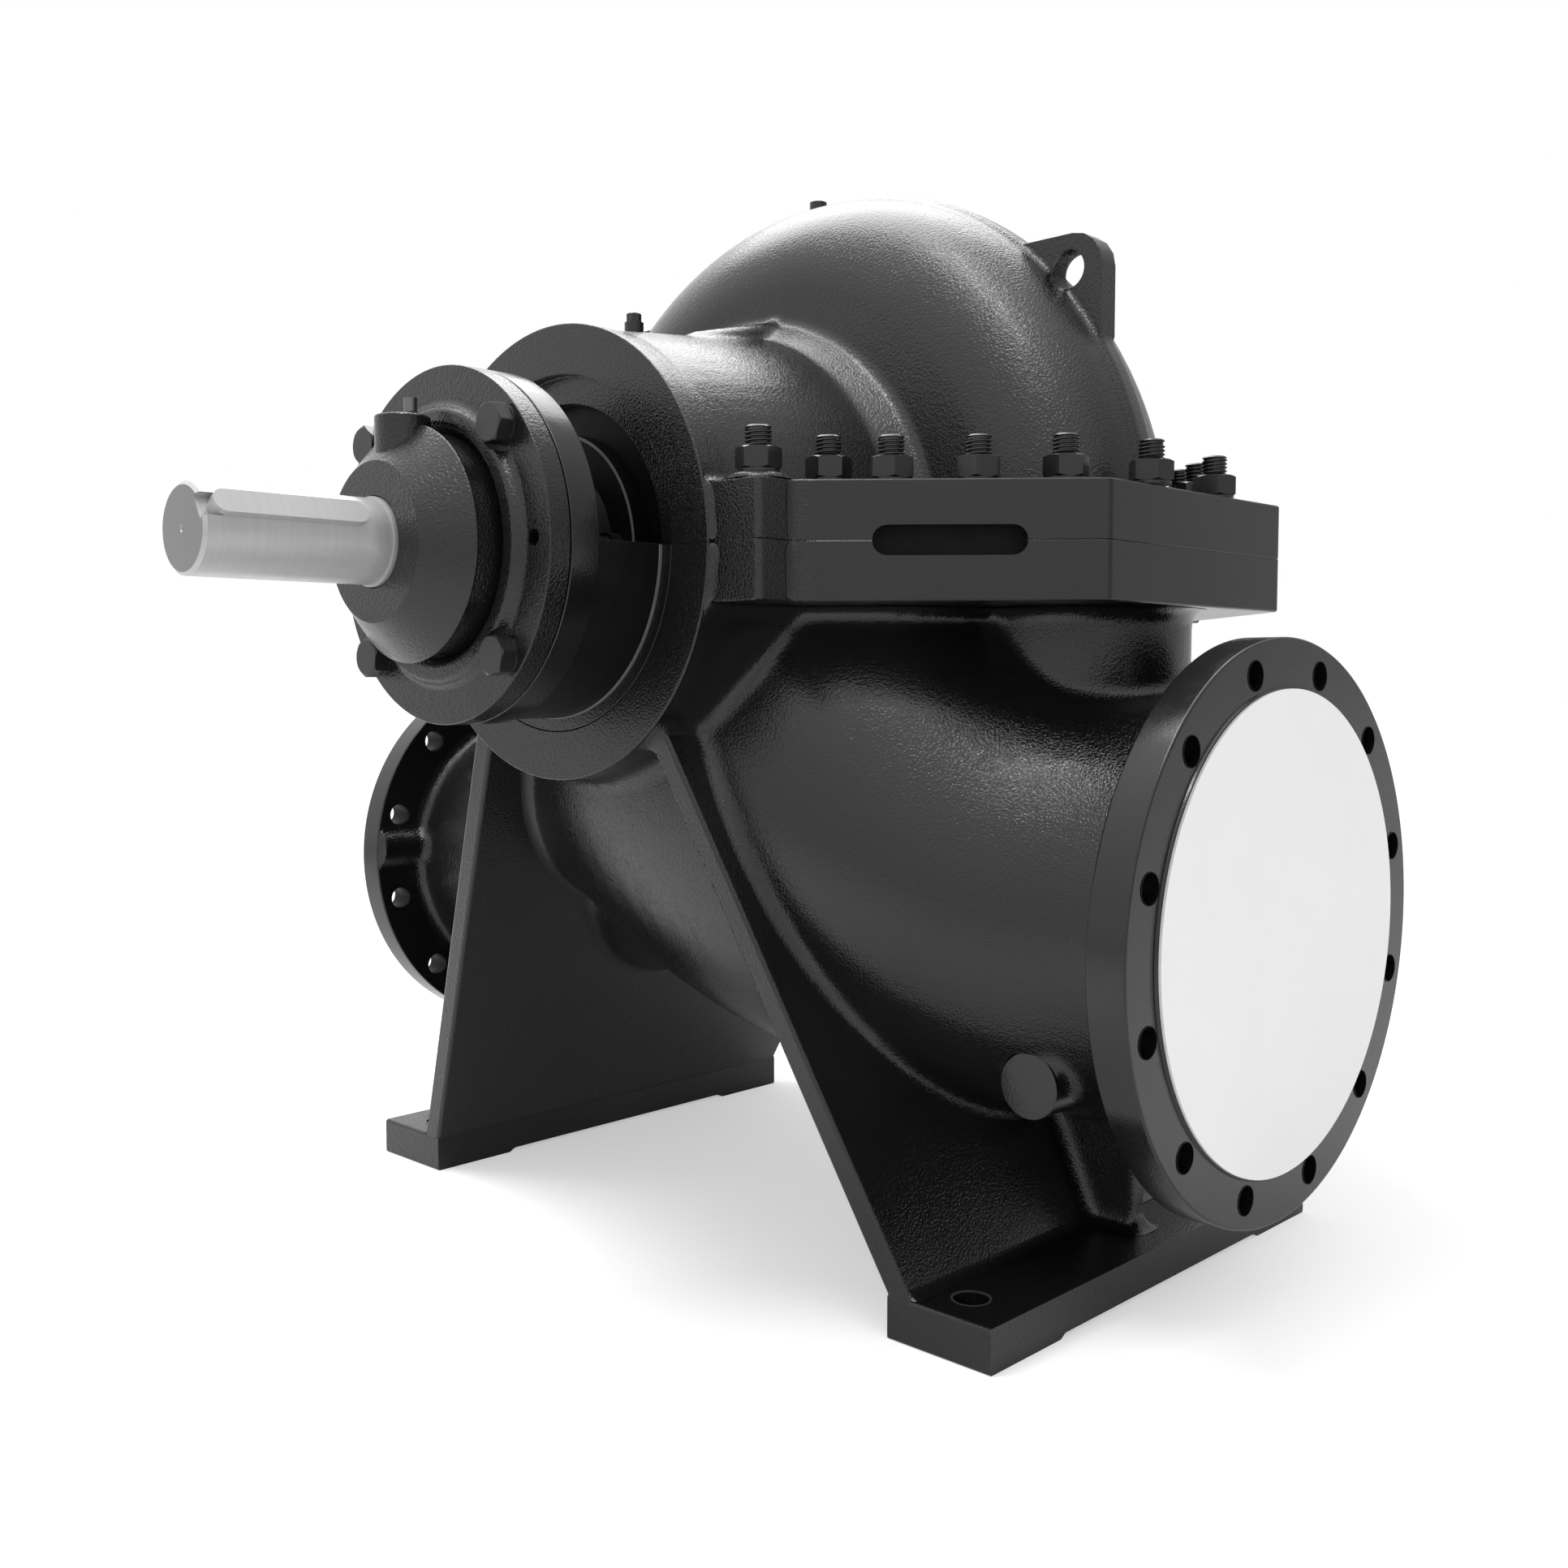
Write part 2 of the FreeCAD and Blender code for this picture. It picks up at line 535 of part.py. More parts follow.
def flush_ridge(end):
    """A cored passage that shows as a round ridge on the neck and rises towards the volute."""
    word = END_NAMES[end]
    body = body_on_shaft(f"flush_ridge_{word}")
    body.Placement = FreeCAD.Placement(FreeCAD.Vector(), FreeCAD.Rotation(FreeCAD.Vector(-1, 0, 0), 1))
    bind(body, z="shaft_height")
    body.setExpression("Placement.Rotation.Angle", bound("flush_ridge_lean"))
    rise = "flush_ridge_length * sin(flush_ridge_slope)"
    run = "flush_ridge_length * cos(flush_ridge_slope)"
    across_x = "flush_ridge_radius * sin(flush_ridge_slope)"
    across_z = "flush_ridge_radius * cos(flush_ridge_slope)"
    low = ("flush_ridge_start_x", "flush_ridge_start_radius")
    high = (f"flush_ridge_start_x - {run}", f"flush_ridge_start_radius + {rise}")
    corners = [low, high, (f"{high[0]} + {across_x}", f"{high[1]} + {across_z}"),
               (f"{low[0]} + {across_x}", f"{low[1]} + {across_z}")]
    drawing = sketch(body, "ridge_profile", "XZ_Plane", [(f"{end} * ({x})", z) for x, z in corners])
    feature = body.newObject("PartDesign::Revolution", "ridge_round")
    feature.Profile = drawing
    feature.ReferenceAxis = (drawing, ["Edge1"])
    feature.Angle = 360
    doc.recompute()
    return body


def stud_bosses():
    """Low round seats on the split flange for the studs beside the end rings."""
    seats = []
    for end in (DRIVE, FAR):
        for side, word in ((1, "suction"), (-1, "discharge")):
            seats.append(rod(f"stud_boss_{END_NAMES[end]}_{word}", "Z", Radius="stud_boss_radius",
                             Height="split_flange_thickness + stud_boss_rise",
                             x=f"{end} * stud_boss_x", y=f"{side} * stud_boss_y", z="shaft_height"))
    return seats


def upper_casing():
    flange = flange_plate("upper_flange", "0", "split_flange_thickness")
    lugs, eyes = [], []
    for side, word in ((1, "suction"), (-1, "discharge")):
        lugs.append(lug(f"{word}_lug", side))
        eyes.append(rod(f"{word}_lug_eye", "X", Radius="lug_hole_radius", Height="2 * lug_thickness",
                        x="-lug_thickness", y=f"{side} * lug_hole_y", z="lug_hole_z"))
    band = rod("rim_band", "X", Radius="volute_radius + rim_band_height", Height="rim_band_width",
               x="-rim_band_width / 2", y="volute_offset", z="shaft_height")
    ridges = [flush_ridge(end) for end in (DRIVE, FAR)]
    whole = fuse("upper_whole", casing_core("upper_core") + [flange, band] + lugs + ridges + stud_bosses())
    plug_holes = [plug_rod(f"{label}_hole", label, "4 * plug_seat") for label in PLUGS]
    above = common("upper_above_split", [whole, half_space("upper_space", upper=True)])
    tools = bore_tools("upper") + pry_slots("upper_slot") + eyes + plug_holes
    keep(cut("upper_casing_solid", above, tools), "upper_casing")


def casing_gasket():
    plate = flange_plate("gasket_plate", "-gasket_thickness / 2", "gasket_thickness", inset="gasket_inset")
    keep(cut("gasket_solid", plate, bore_tools("gasket") + pry_slots("gasket_slot")), "casing_gasket")


# Ends

def bearing_bracket(end):
    """A trough with an open top that carries the bearing housing ring, one solid."""
    word = END_NAMES[end]
    body = body_on_shaft(f"bracket_{word}_body")
    seat = "bearing_seat_radius + bearing_clearance"
    inner = "housing_radius - trough_wall"
    revolve(body, "bracket", [
        ("housing_front_x", seat), ("housing_front_x", "housing_radius"),
        ("ring_face_x + lip_length", "housing_radius"), ("ring_face_x + lip_length", "lip_radius"),
        ("ring_face_x", "lip_radius"), ("ring_face_x", "recess_radius - spigot_clearance"),
        ("ring_face_x - recess_depth", "recess_radius - spigot_clearance"),
        ("ring_face_x - recess_depth", inner),
        ("housing_back_x", inner), ("housing_back_x", "hub_radius"),
        ("housing_back_x - hub_length", "hub_radius"), ("housing_back_x - hub_length", seat)], end)
    start = "ring_face_x - recess_depth" if end == DRIVE else "-housing_back_x"
    window = box(f"bracket_{word}_window", Length="housing_back_x - ring_face_x + recess_depth",
                 Width="4 * housing_radius", Height="2 * housing_radius", x=start, y="-2 * housing_radius",
                 z="shaft_height + 1")
    keeper = rod(f"bracket_{word}_keep", "X", Radius="hub_radius", Height="hub_length",
                 x="housing_back_x - hub_length" if end == DRIVE else "-housing_back_x", z="shaft_height")
    opening = cut(f"bracket_{word}_opening", window, [keeper])
    keep(cut(f"bracket_{word}_solid", body, [opening]), f"bearing_bracket_{word}")


def bearing_cover(end):
    """The bolted bell over the bearing: bored for the shaft at the drive end, closed at the far end."""
    word = END_NAMES[end]
    body = body_on_shaft(f"cover_{word}_body")
    bore = "shaft_shoulder_radius + bearing_clearance"
    seat = "bearing_seat_radius + bearing_clearance"
    back = "housing_front_x"
    if end == DRIVE:
        inside = [("cover_nose_x", bore), ("cover_bore_depth_x", bore), ("cover_bore_depth_x", seat),
                  (back, seat)]
        outside = [(back, "housing_radius"), ("cover_front_x", "housing_radius"),
                   ("cover_front_x", "cover_step_radius"), ("cover_step_x", "cover_step_radius"),
                   ("cover_step_x", "cover_cone_radius"), ("cover_cone_x", "cover_cone_radius"),
                   ("cover_nose_x", "cover_nose_radius")]
        soft = [("cover_front_x", "cover_step_radius"), ("cover_step_x", "cover_step_radius"),
                ("cover_nose_x", "cover_nose_radius")]
    else:
        inside = [("cap_end_x", "0"), ("cap_end_x - cap_wall", "0"), ("cap_end_x - cap_wall", seat),
                  (back, seat)]
        outside = [(back, "housing_radius"), ("cover_front_x", "housing_radius"),
                   ("cover_front_x", "cover_step_radius"), ("cap_end_x - cap_slope", "cap_radius"),
                   ("cap_end_x", "cap_radius - cap_slope")]
        soft = [("cover_front_x", "cover_step_radius"), ("cap_end_x", "cap_radius - cap_slope")]
    cover = revolve(body, "cover", outside + inside, end)
    circles = [(end * value(x), value(radius)) for x, radius in soft]
    dress(body, "cover_edges", cover, circles, "cover_edge_size")
    drill = rod(f"cover_{word}_jack_hole", "X", Radius="jack_hole_radius", Height="jack_hole_depth + 1",
                x="cover_front_x - jack_hole_depth" if end == DRIVE else "-cover_front_x - 1",
                y="cover_bolt_radius", z="shaft_height")
    place = {"x": "cup_x" if end == DRIVE else "-far_nipple_x",
             "z": f"shaft_height + {'cup_top_radius' if end == DRIVE else 'cover_cone_radius'} - nipple_seat"}
    stem_hole = rod(f"cover_{word}_nipple_hole", "Z", Radius="nipple_radius", Height="4 * nipple_height",
                    **place)
    solid = body
    if end == DRIVE:
        cup = rod("nipple_cup", "Z", Radius="cup_radius", x="cup_x",
                  Height="cup_top_radius - shaft_end_radius - cup_radius",
                  z="shaft_height + shaft_end_radius + cup_radius")
        solid = fuse(f"cover_{word}_with_cup", [body, cup])
    keep(cut(f"cover_{word}_solid", solid, [drill, stem_hole]), f"bearing_cover_{word}")
    stem = rod(f"nipple_{word}_stem", "Z", Radius="nipple_radius", Height="nipple_height + nipple_seat",
               **place)
    keep(stem, f"grease_nipple_{word}")


def seal(end):
    """Seal cover in the casing end, and the gland that presses on it."""
    word = END_NAMES[end]
    body = body_on_shaft(f"seal_cover_{word}")
    revolve(body, "seal_cover", [
        ("seal_cover_front_x - seal_cover_thickness", "sleeve_radius + seal_clearance"),
        ("seal_cover_front_x - seal_cover_thickness", "chamber_radius"),
        ("seal_cover_front_x - seal_cover_thickness / 2", "chamber_radius"),
        ("seal_cover_front_x - seal_cover_thickness / 2", "seal_cover_radius"),
        ("seal_cover_front_x", "seal_cover_radius"),
        ("seal_cover_front_x", "sleeve_radius + seal_clearance")], end)
    keep(body, f"seal_cover_{word}")
    ring = body_on_shaft(f"gland_ring_{word}")
    revolve(ring, "gland", [
        ("seal_cover_front_x", "sleeve_radius + seal_clearance"), ("seal_cover_front_x", "gland_radius"),
        ("gland_front_x", "gland_radius - gland_slope"),
        ("gland_front_x", "sleeve_radius + seal_clearance")], end)
    start = "seal_cover_front_x" if end == DRIVE else "-seal_cover_front_x - gland_ear_thickness"
    ears = [rod(f"gland_ear_{word}_{i}", "X", Radius="gland_ear_radius", Height="gland_ear_thickness",
                x=start, y=f"{side} * gland_ear_y", z="shaft_height") for i, side in enumerate((1, -1))]
    keep(fuse(f"gland_{word}_solid", [ring] + ears), f"gland_{word}")


# Rotor

def shaft():
    body = body_on_shaft("shaft_body")
    turned = revolve(body, "shaft_turned", [
        ("-shaft_far_end_x", "0"), ("-shaft_far_end_x", "bearing_seat_radius"),
        ("-sleeve_end_x - shaft_step_gap", "bearing_seat_radius"),
        ("-sleeve_end_x - shaft_step_gap", "shaft_body_radius"),
        ("sleeve_end_x + shaft_step_gap", "shaft_body_radius"),
        ("sleeve_end_x + shaft_step_gap", "bearing_seat_radius"),
        ("cover_bore_depth_x - shaft_shoulder_reach", "bearing_seat_radius"),
        ("cover_bore_depth_x - shaft_shoulder_reach", "shaft_shoulder_radius"),
        ("cover_nose_x + shaft_shoulder_reach", "shaft_shoulder_radius"),
        ("cover_nose_x + shaft_shoulder_reach", "shaft_end_radius"),
        ("shaft_end_x - shaft_chamfer", "shaft_end_radius"),
        ("shaft_end_x", "shaft_end_radius - shaft_chamfer"),
        ("shaft_end_x", "centre_hole_radius"), ("shaft_end_x - centre_hole_depth", "0")])
    slot = key_blank("keyway", "key_height + 2", "0")
    keep(cut("shaft_solid", body, [slot]), "shaft")
    keep(key_blank("key_solid", "key_height", "key_end_gap"), "shaft_key")


def key_blank(name, height, end_gap):
    """A bar along the shaft extension: the key, round at both ends, or its seat, open at the shaft's end."""
    body = doc.addObject("PartDesign::Body", name)
    body.Placement = FreeCAD.Placement(FreeCAD.Vector(), FreeCAD.Rotation(FreeCAD.Vector(-1, 0, 0), 1))
    bind(body, z="shaft_height")
    body.setExpression("Placement.Rotation.Angle", bound("key_lean"))
    start, stop = "shaft_end_x - key_length", f"shaft_end_x - {end_gap}"
    half = "key_width / 2"
    drawing = sketch(body, name + "_outline", "XY_Plane",
                     [(start, f"-{half}"), (stop, f"-{half}"), (stop, half), (start, half)],
                     lift="shaft_end_radius - key_depth")
    pad = body.newObject("PartDesign::Pad", name + "_pad")
    pad.Profile = drawing
    bind(pad, Length=height)
    doc.recompute()
    round_ends = [value(start)] if end_gap == "0" else [value(start), value(stop)]
    corners = [f"Edge{i}" for i, edge in enumerate(pad.Shape.Edges, start=1)
               if any(abs(edge.CenterOfMass.x - x) < CLOSE for x in round_ends)
               and abs(abs(edge.CenterOfMass.y) - size("key_width") / 2) < CLOSE
               and edge.Length < size("key_width") - 1]
    rounding = body.newObject("PartDesign::Fillet", name + "_end")
    rounding.Base = (pad, corners)
    bind(rounding, Radius="key_width / 2 - 0.1")
    doc.recompute()
    return body


def sleeve(end):
    word = END_NAMES[end]
    body = body_on_shaft(f"sleeve_{word}")
    revolve(body, "sleeve", [
        ("sleeve_start_x", "shaft_body_radius"), ("sleeve_start_x", "sleeve_radius"),
        ("sleeve_end_x", "sleeve_radius"), ("sleeve_end_x", "shaft_body_radius")], end)
    keep(body, f"shaft_sleeve_{word}")
    ring = body_on_shaft(f"slinger_{word}_body")
    revolve(ring, "slinger", [
        ("sleeve_end_x", "shaft_body_radius"), ("sleeve_end_x", "slinger_radius - slinger_slope_height"),
        ("sleeve_end_x + slinger_slope_length", "slinger_radius"),
        ("sleeve_end_x + slinger_width", "slinger_radius"),
        ("sleeve_end_x + slinger_width", "shaft_body_radius")], end)
    keep(ring, f"slinger_{word}")


# Small fittings

PLUGS = {
    "vent_plug": ("0", "sqrt(volute_radius * volute_radius - volute_offset * volute_offset)"),
    "flush_plug_drive": ("neck_plug_x", "neck_plug_seat"),
    "flush_plug_far": ("-neck_plug_x", "neck_plug_seat"),
}


def plug_rod(name, label, height):
    """The round of a plug that stands on top of the casing, as a piece or as the tool for its hole."""
    x, seat_radius = PLUGS[label]
    return rod(name, "Z", Radius="plug_radius", Height=height, x=x,
               z=f"shaft_height + {seat_radius} - plug_seat")


def plugs():
    for label in PLUGS:
        keep(plug_rod(label + "_solid", label, "plug_height + plug_seat"), label)


def nozzle_cover(side):
    word = "suction" if side > 0 else "discharge"
    disc = rod(f"{word}_cover_disc", "Y", Radius=f"{word}_raised_radius - nozzle_cover_inset",
               Height="nozzle_cover_thickness", z="nozzle_height",
               y=f"{word}_face_y" if side > 0 else f"-{word}_face_y - nozzle_cover_thickness")
    keep(disc, f"{word}_nozzle_cover")


lower_casing()
upper_casing()
casing_gasket()
shaft()
for end in (DRIVE, FAR):
    bearing_bracket(end)
    bearing_cover(end)
    seal(end)
    sleeve(end)
nozzle_cover(1)
nozzle_cover(-1)
plugs()

doc.recompute()
for thing in doc.Objects:
    assert not {"Invalid", "Error"} & set(thing.State), (thing.Name, thing.State)
for label, thing in PARTS.items():
    assert not thing.Shape.isNull() and thing.Shape.isValid(), label
os.makedirs("parts", exist_ok=True)
for label, thing in PARTS.items():
    thing.Shape.exportStep(f"parts/{label}.step")
    print(label, "solids", len(thing.Shape.Solids), "litres", round(thing.Shape.Volume / 1e6, 2))
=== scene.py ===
"""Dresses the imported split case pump: cast housing, machined flanges, fasteners, finishes, light and camera.

Numbers in the shapes are millimetres in the frame of the part: X along the shaft to the drive end, Y to
the suction nozzle, Z up from the base. They become metres when a mesh is made.
"""
import bpy
import numpy as np
import openvdb
from collections import namedtuple
from math import atan2, cos, pi, radians, sin, tan
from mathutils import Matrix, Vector


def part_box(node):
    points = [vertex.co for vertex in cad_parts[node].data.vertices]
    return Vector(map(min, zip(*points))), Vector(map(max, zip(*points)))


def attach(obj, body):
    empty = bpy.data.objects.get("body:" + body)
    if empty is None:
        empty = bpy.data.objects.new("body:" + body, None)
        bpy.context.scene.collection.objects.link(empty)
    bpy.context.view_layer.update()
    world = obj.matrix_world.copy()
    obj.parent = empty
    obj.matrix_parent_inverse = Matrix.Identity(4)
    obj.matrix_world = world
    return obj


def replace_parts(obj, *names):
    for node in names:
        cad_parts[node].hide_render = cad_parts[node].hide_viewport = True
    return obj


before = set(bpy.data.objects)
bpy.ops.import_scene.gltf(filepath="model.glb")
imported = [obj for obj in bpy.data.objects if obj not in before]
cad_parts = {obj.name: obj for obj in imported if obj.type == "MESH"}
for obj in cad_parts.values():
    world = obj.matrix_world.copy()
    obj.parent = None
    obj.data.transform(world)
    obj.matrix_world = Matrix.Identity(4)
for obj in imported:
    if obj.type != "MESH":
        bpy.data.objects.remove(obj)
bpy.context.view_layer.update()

DRIVE, FAR = 1, -1
ENDS = {DRIVE: "drive", FAR: "far"}
SIDES = {1: "suction", -1: "discharge"}

# Sizes that several pieces share. The shaft line is H high, and the casing is split there.
H = 586
SPLIT_HEIGHT = 44  # thickness of each half of the split flange
SPLIT_GAP = 0.15  # half of the hairline between the two
CLEAR = 0.4  # how far a cutter reaches past the form it makes room for
RING_FACE, RING_RADIUS = 316, 182
RING_BACK, RECESS_RADIUS, RECESS_X, OPENING_RADIUS = 297, 142, 306, 120
HOUSING_RADIUS, HOUSING_BACK, COVER_SEAM, COVER_FRONT = 135, 378, 404, 423
TROUGH_RADIUS = 131.5
SHAFT_END = 625
NOZZLE_HEIGHT = 295
FLANGE_HOLES, FLANGE_HOLE_RADIUS = 12, 11.5
FOOT_LENGTH, FOOT_INNER, FOOT_OUTER, FOOT_HEIGHT = 239, 290, 384, 34
FOOT_BOLT, FOOT_HOLE_RADIUS = (203, 340), 14
# height, half length and outer face of a leg web at its foot and at its top
WEB_FOOT, WEB_TOP = (17, 236, 319), (452, 306, 118)
LUG_HOLE, LUG_HOLE_RADIUS = (284.5, 818), 15.5
DRAIN_BOSS = (354, 184.5)
SLOT_CENTRE, SLOT_SLANT = (204, 316.5), atan2(173, 150)
COVER_BOLT_CIRCLE = 117
COVER_BOLT_ANGLES = [radians(angle) for angle in (45, 135, 225, 315)]
Nozzle = namedtuple("Nozzle", "side face thickness radius raised pitch")
NOZZLES = (Nozzle(1, 479, 33, 222.5, 185, 200), Nozzle(-1, 490, 31, 197.5, 160, 175))


# Meshes

def raw_mesh(name, verts, faces):
    """A Blender mesh from millimetres; faces is a list of tuples or an array of equal polygons."""
    if isinstance(faces, list):
        loops = np.concatenate([np.asarray(face, np.int32) for face in faces])
        totals = np.array([len(face) for face in faces], np.int32)
    else:
        loops = faces.astype(np.int32).ravel()
        totals = np.full(len(faces), faces.shape[1], np.int32)
    points = np.asarray(verts, np.float32) * 0.001
    mesh = bpy.data.meshes.new(name)
    mesh.vertices.add(len(points))
    mesh.vertices.foreach_set("co", points.ravel())
    mesh.loops.add(len(loops))
    mesh.loops.foreach_set("vertex_index", loops)
    mesh.polygons.add(len(totals))
    mesh.polygons.foreach_set("loop_start", np.concatenate([[0], np.cumsum(totals)[:-1]]).astype(np.int32))
    mesh.update(calc_edges=True)
    mesh.validate()
    return mesh


def smooth_shade(mesh, sharp):
    """Smooth shading with crisp edges where faces meet at more than an angle in degrees."""
    mesh.shade_smooth()
    mesh.set_sharp_from_angle(angle=radians(sharp))


ALL_SMOOTH = 180
dressed = []  # the pieces whose broad faces are kept flat at the end


def piece(name, shape, material, body="casing", sharp=32):
    """A new visible piece that rides on a CAD body, from a (verts, faces) pair."""
    mesh = raw_mesh(name, *shape)
    thing = bpy.data.objects.new(name, mesh)
    bpy.context.scene.collection.objects.link(thing)
    mesh.materials.append(material)
    smooth_shade(mesh, sharp)
    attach(thing, body)
    if sharp < ALL_SMOOTH:
        dressed.append(thing)
    return thing


def settle(thing, sharp=32):
    """Apply every modifier for good."""
    bpy.context.view_layer.update()
    shown = thing.evaluated_get(bpy.context.evaluated_depsgraph_get())
    thing.data = bpy.data.meshes.new_from_object(shown)
    thing.modifiers.clear()
    smooth_shade(thing.data, sharp)


def carve(thing, cutters, sharp=32):
    """Take the cutters, (verts, faces) pairs, out of a piece."""
    for number, shape in enumerate(cutters):
        mesh = raw_mesh(f"cutter_{number}", *shape)
        tool = bpy.data.objects.new(mesh.name, mesh)
        bpy.context.scene.collection.objects.link(tool)
        change = thing.modifiers.new("carve", "BOOLEAN")
        change.operation = "DIFFERENCE"
        change.solver = "MANIFOLD"
        change.object = tool
        settle(thing, sharp)
        bpy.data.objects.remove(tool)
        bpy.data.meshes.remove(mesh)


def flat_normals(thing):
    """Keep broad faces flat beside small roundings."""
    change = thing.modifiers.new("normals", "WEIGHTED_NORMAL")
    change.keep_sharp = True


def bevel(thing, width, segments=2, angle=35):
    """Soften the crisp edges of a machined piece."""
    change = thing.modifiers.new("edges", "BEVEL")
    change.width = width * 0.001
    change.segments = segments
    change.limit_method = "ANGLE"
    change.angle_limit = radians(angle)
    change.harden_normals = True
    change.use_clamp_overlap = True


# Shapes, each a (verts, faces) pair

def soften(corners, steps=4):
    """A closed outline of (a, b) or (a, b, radius) corners, with the radii rounded."""
    out = []
    for i, corner in enumerate(corners):
        here = np.array(corner[:2], float)
        radius = corner[2] if len(corner) > 2 else 0
        if not radius:
            out.append(tuple(here))
            continue
        back = np.array(corners[i - 1][:2], float) - here
        ahead = np.array(corners[(i + 1) % len(corners)][:2], float) - here
        back_len, ahead_len = np.linalg.norm(back), np.linalg.norm(ahead)
        back, ahead = back / back_len, ahead / ahead_len
        half = 0.5 * np.arccos(np.clip(back @ ahead, -1, 1))
        reach = min(radius / tan(half), 0.49 * back_len, 0.49 * ahead_len)
        radius = reach * tan(half)
        middle = here + (back + ahead) / np.linalg.norm(back + ahead) * radius / sin(half)
        first, last = here + back * reach - middle, here + ahead * reach - middle
        start = atan2(first[1], first[0])
        turn = (atan2(last[1], last[0]) - start + pi) % (2 * pi) - pi
        for k in range(steps + 1):
            angle = start + turn * k / steps
            out.append((middle[0] + radius * cos(angle), middle[1] + radius * sin(angle)))
    return out


def place(axis, along, across, up, centre):
    """A point given along an axis and by its two offsets from a centre on that axis."""
    if axis == "X":
        return (along, centre[0] + across, centre[1] + up)
    if axis == "Y":
        return (centre[0] + across, along, centre[1] + up)
    return (centre[0] + across, centre[1] + up, along)


def weld(verts, faces):
    """Join equal points and make every face look outwards."""
    keys, index, points = {}, [], []
    for vert in verts:
        key = tuple(round(c, 4) for c in vert)
        if key not in keys:
            keys[key] = len(points)
            points.append(vert)
        index.append(keys[key])
    rings = [list(dict.fromkeys(index[i] for i in face)) for face in faces]
    rings = [tuple(ring) for ring in rings if len(ring) > 2]
    points = np.array(points, float)
    volume = sum(np.dot(points[ring[0]], np.cross(points[ring[i]], points[ring[i + 1]]))
                 for ring in rings for i in range(1, len(ring) - 1))
    if volume < 0:
        rings = [ring[::-1] for ring in rings]
    return points, rings


def rectangle(low_a, low_b, high_a, high_b):
    """An outline of four corners."""
    return [(low_a, low_b), (high_a, low_b), (high_a, high_b), (low_a, high_b)]


TINY = 1e-6


def lathe(corners, axis="X", centre=(0, H), steps=128, start=0.0, sweep=2 * pi, end=1, arc=4):
    """Turn a closed (along, radius[, rounding]) outline; end -1 mirrors it along the axis."""
    outline = soften(corners, arc)
    size = len(outline)
    full = sweep > 2 * pi - TINY
    count = steps if full else steps + 1
    angles = [start + sweep * k / steps for k in range(count)]
    verts = [place(axis, end * along, radius * cos(angle), radius * sin(angle), centre)
             for angle in angles for along, radius in outline]
    faces = []
    for k in range(steps):
        row, after = k * size, ((k + 1) % count) * size
        for i in range(size):
            j = (i + 1) % size
            if outline[i][1] > TINY or outline[j][1] > TINY:
                faces.append((row + i, row + j, after + j, after + i))
    if not full:
        faces.append(tuple(range(size))[::-1])
        faces.append(tuple((count - 1) * size + i for i in range(size)))
    return weld(verts, faces)


def stack(rings):
    """A closed solid through rings of equally many points, one over the other."""
    size = len(rings[0])
    faces = [tuple(range(size))[::-1], tuple(range((len(rings) - 1) * size, len(rings) * size))]
    for row in range(len(rings) - 1):
        low, high = row * size, (row + 1) * size
        faces += [(low + i, low + (i + 1) % size, high + (i + 1) % size, high + i) for i in range(size)]
    return weld([vert for ring in rings for vert in ring], faces)


def prism(outline, low, high, axis="Z", centre=(0, 0)):
    """A plate of a rounded (a, b[, rounding]) outline between two heights along an axis."""
    corners = soften(outline)
    return stack([[place(axis, at, a, b, centre) for a, b in corners] for at in (low, high)])


def drill(axis, at, low, high, radius, steps=48):
    """A round cutter along an axis."""
    return lathe(rectangle(low, 0, high, radius), axis, at, steps)


def gather(*shapes):
    """Several shapes as one."""
    faces, count = [], 0
    for points, polygons in shapes:
        faces += [tuple(i + count for i in face) for face in polygons]
        count += len(points)
    return np.vstack([points for points, _ in shapes]), faces


def moved(shape, x=0, y=0, z=0):
    """The shape shifted."""
    return shape[0] + np.array([x, y, z]), shape[1]


def turned(shape, angle, axis="Z"):
    """Turn about an axis through the origin."""
    c, s = cos(angle), sin(angle)
    matrix = {"Y": [[c, 0, s], [0, 1, 0], [-s, 0, c]], "Z": [[c, -s, 0], [s, c, 0], [0, 0, 1]]}[axis]
    return shape[0] @ np.array(matrix).T, shape[1]


def facing(shape, end):
    """The shape as it is at the drive end, or mirrored in X for the far end."""
    if end == DRIVE:
        return shape
    return shape[0] * np.array([-1, 1, 1]), [face[::-1] for face in shape[1]]


# Finishes

def material(name, grey, rough, metallic=0.0, specular=0.5):
    """A plain start for a finish: the material, its node tree and its shader."""
    made = bpy.data.materials.new(name)
    made.use_nodes = True
    shader = made.node_tree.nodes["Principled BSDF"]
    shader.inputs["Base Color"].default_value = (grey, grey, grey, 1)
    shader.inputs["Roughness"].default_value = rough
    shader.inputs["Metallic"].default_value = metallic
    shader.inputs["Specular IOR Level"].default_value = specular
    return made, made.node_tree, shader


def noise(tree, scale, detail=2.0, rough=0.5, stretch=None, distortion=0.0):
    """Noise in object space, in cycles per metre, stretched along an axis when asked."""
    source = tree.nodes.new("ShaderNodeTexCoord").outputs["Object"]
    if stretch:
        mapping = tree.nodes.new("ShaderNodeMapping")
        mapping.inputs["Scale"].default_value = stretch
        tree.links.new(source, mapping.inputs["Vector"])
        source = mapping.outputs["Vector"]
    texture = tree.nodes.new("ShaderNodeTexNoise")
    texture.inputs["Scale"].default_value = scale
    texture.inputs["Detail"].default_value = detail
    texture.inputs["Roughness"].default_value = rough
    texture.inputs["Distortion"].default_value = distortion
    tree.links.new(source, texture.inputs["Vector"])
    return texture.outputs["Fac"]


